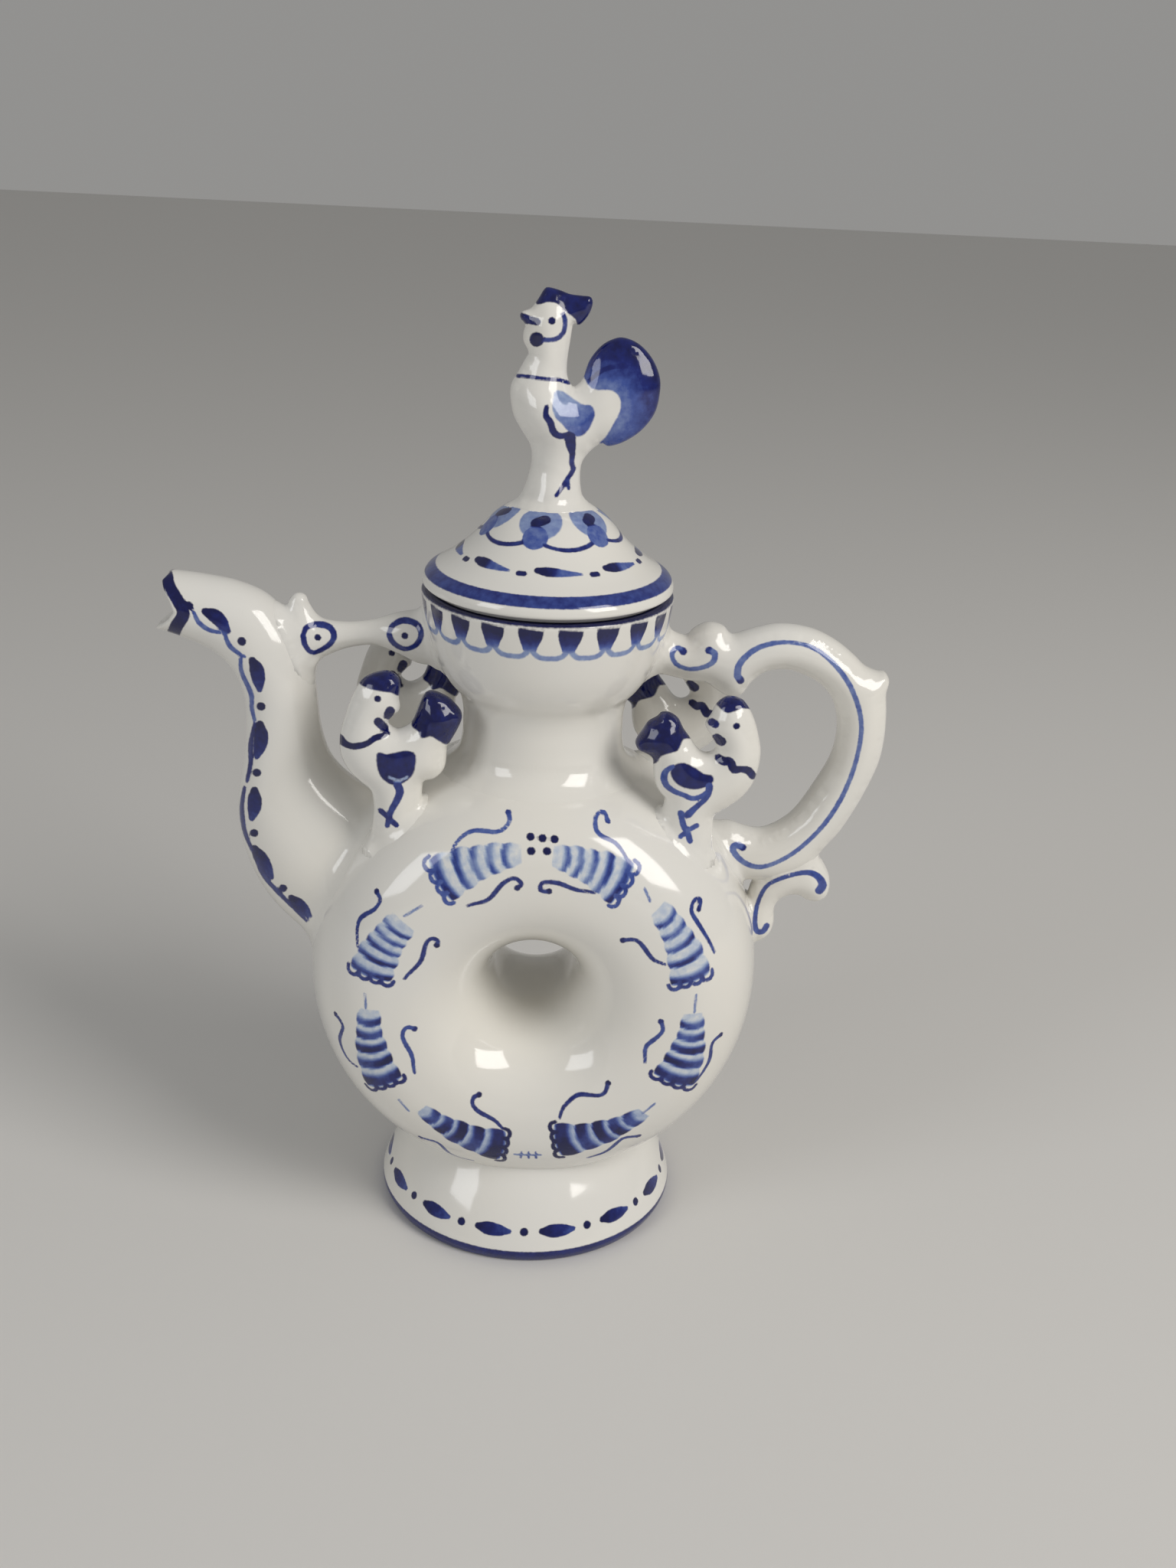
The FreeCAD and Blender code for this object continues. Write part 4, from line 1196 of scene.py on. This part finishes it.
lute(rooster, near_surface(lid), 2.2)
painting = Painting(rooster, 0.0, 4.5)
comb = [
    (-4.2, 201.0), (-2.2, 201.5), (-0.4, 201.3), (1.3, 200.0), (2.2, 199.4), (3.4, 198.4), (4.0, 196.4), (7.5, 198.0),
    (7.5, 203.5), (-2.0, 205.0), (-4.2, 203.0),
]
wing = [
    (-0.1, 184.8), (1.4, 184.9), (3.2, 183.8), (5.3, 182.6), (7.0, 182.5), (7.8, 181.1), (7.5, 179.4), (6.4, 177.3),
    (5.0, 176.3), (3.2, 176.8), (1.6, 178.5), (0.1, 179.9), (-0.5, 181.9),
]
tail = [
    (6.0, 186.7), (7.8, 185.5), (10.8, 185.5), (12.5, 184.1), (12.7, 181.8), (11.7, 179.4), (10.1, 176.4), (9.0, 175.0),
    (11.0, 172.5), (18.0, 175.5), (22.0, 182.0), (21.5, 189.0), (16.5, 195.5), (10.0, 196.0), (5.0, 190.5),
]
sickle = [(6.3, 187.0), (8.8, 189.2), (12.0, 190.2), (14.9, 190.0), (16.5, 187.8), (17.9, 184.4), (18.1, 182.0)]


def wing_tone(x, height):
    """The wing darkens downwards and towards the tail."""
    return np.clip(0.42 + 0.03 * (181 - height) + 0.035 * (x - 3), 0.3, 0.72)


def tail_tone(x, height):
    """The tail darkens outwards from its root."""
    return np.clip(0.62 + 0.06 * (np.hypot(x - 9, height - 181.5) - 6.5), 0.52, 0.96)


painting.patch("line", comb, 0.95)
painting.patch("wash", wing, wing_tone)
painting.patch("wash", tail, tail_tone)
rooster_strokes = [
    ([(-7.2, 198.3), (-5.7, 198.1), (-4.0, 197.8)], [1.1, 0.8, 0.7], 0.95),
    ([(0.8, 199.4), (1.3, 198.4), (1.2, 196.4), (0.4, 195.2), (-0.8, 194.6), (-2.9, 194.5)], 0.45, 0.75),
    ([(-7.4, 187.5), (-5.2, 187.4), (-1.9, 187.1), (0.4, 187.1), (2.5, 186.6)], 0.4, 0.82),
    ([
        (-1.6, 181.9), (-1.7, 180.1), (-0.7, 178.7), (-0.1, 177.0), (1.4, 176.2), (2.9, 176.8),
    ], [0.45, 0.7, 0.7, 0.5], 0.85),
    ([(3.2, 176.1), (3.4, 174.6), (3.8, 172.8)], [1.1, 1.0, 0.6], 0.9),
    ([(3.8, 172.8), (3.7, 171.0), (4.1, 169.8), (2.7, 167.4), (1.8, 165.8), (0.9, 164.4)], [0.55, 0.4], 0.8),
    ([(3.1, 167.7), (3.3, 165.9)], 0.38, 0.75),
    (sickle, [0.4, 0.5, 0.45, 0.3], 0.84),
]
rooster_eye = (-1.2, 0, 198.1)
rooster_wattle = (-4.0, 0, 194.5)
for drawn, brush, tone in rooster_strokes:
    draw(painting, drawn, brush, tone, 0.5)
painting.dot("line", rooster_eye, 0.75, 1.0)
painting.dot("line", rooster_wattle, 1.4, 1.0)
painting.done()
finished(rooster, "rooster", "lid")


# Light, table and viewpoint: a plain, pale table top under a big soft window to the right and a weaker one to the
# left, seen from the photograph's place.
pot_middle = (0.0, 0.0, 0.09)


def window(name, place, size, strength, colour):
    """A soft, oblong light that faces the pot."""
    lamp = bpy.data.lights.new(name, "AREA")
    lamp.shape = "RECTANGLE"
    lamp.size, lamp.size_y = size
    lamp.energy = strength
    lamp.color = colour
    made = bpy.data.objects.new(name, lamp)
    made.location = place
    made.rotation_euler = (Vector(pot_middle) - Vector(place)).to_track_quat("-Z", "Y").to_euler()
    bpy.context.scene.collection.objects.link(made)


window("window_right", (0.75, -0.55, 0.75), (0.5, 0.7), 7.4, (1.0, 0.97, 0.93))
window("window_left", (-0.8, -0.6, 0.5), (0.4, 0.5), 2.2, (0.95, 0.97, 1.0))

world = bpy.data.worlds.new("room")
world.use_nodes = True
room_light = world.node_tree.nodes["Background"].inputs
room_light["Color"].default_value = (0.80, 0.79, 0.77, 1)
room_light["Strength"].default_value = 0.36
bpy.context.scene.world = world

table = bpy.data.meshes.new("table_top")
table.from_pydata([(-3, -3, 0), (3, -3, 0), (3, 3, 0), (-3, 3, 0)], [], [(0, 1, 2, 3)])
table_top = bpy.data.objects.new("table_top", table)
bpy.context.scene.collection.objects.link(table_top)
paint = bpy.data.materials.new("pale_table")
paint.use_nodes = True
coat = paint.node_tree.nodes["Principled BSDF"].inputs
coat["Base Color"].default_value = (0.72, 0.71, 0.69, 1)
coat["Roughness"].default_value = 0.6
table.materials.append(paint)

focal_length = 2200
picture_height = 2048
pitch, roll, yaw = math.radians(22.7), math.radians(2.87), math.radians(1.75)
ahead = Vector((math.sin(yaw) * math.cos(pitch), math.cos(yaw) * math.cos(pitch), -math.sin(pitch)))
level = Vector((math.cos(yaw), -math.sin(yaw), 0))
above = level.cross(ahead)
right = math.cos(roll) * level + math.sin(roll) * above
top = math.cos(roll) * above - math.sin(roll) * level
camera = bpy.data.objects.new("camera", bpy.data.cameras.new("camera"))
camera.data.lens = focal_length / picture_height * camera.data.sensor_width
camera.data.clip_start = 0.01
camera_place = Matrix.Translation((pot_axis, -eye_distance * MM, eye_height * MM))
camera_turn = Matrix((right, top, -ahead)).transposed().to_4x4()
camera.matrix_world = camera_place @ camera_turn
bpy.context.scene.collection.objects.link(camera)
bpy.context.scene.camera = camera
bpy.context.scene.view_settings.view_transform = "Standard"
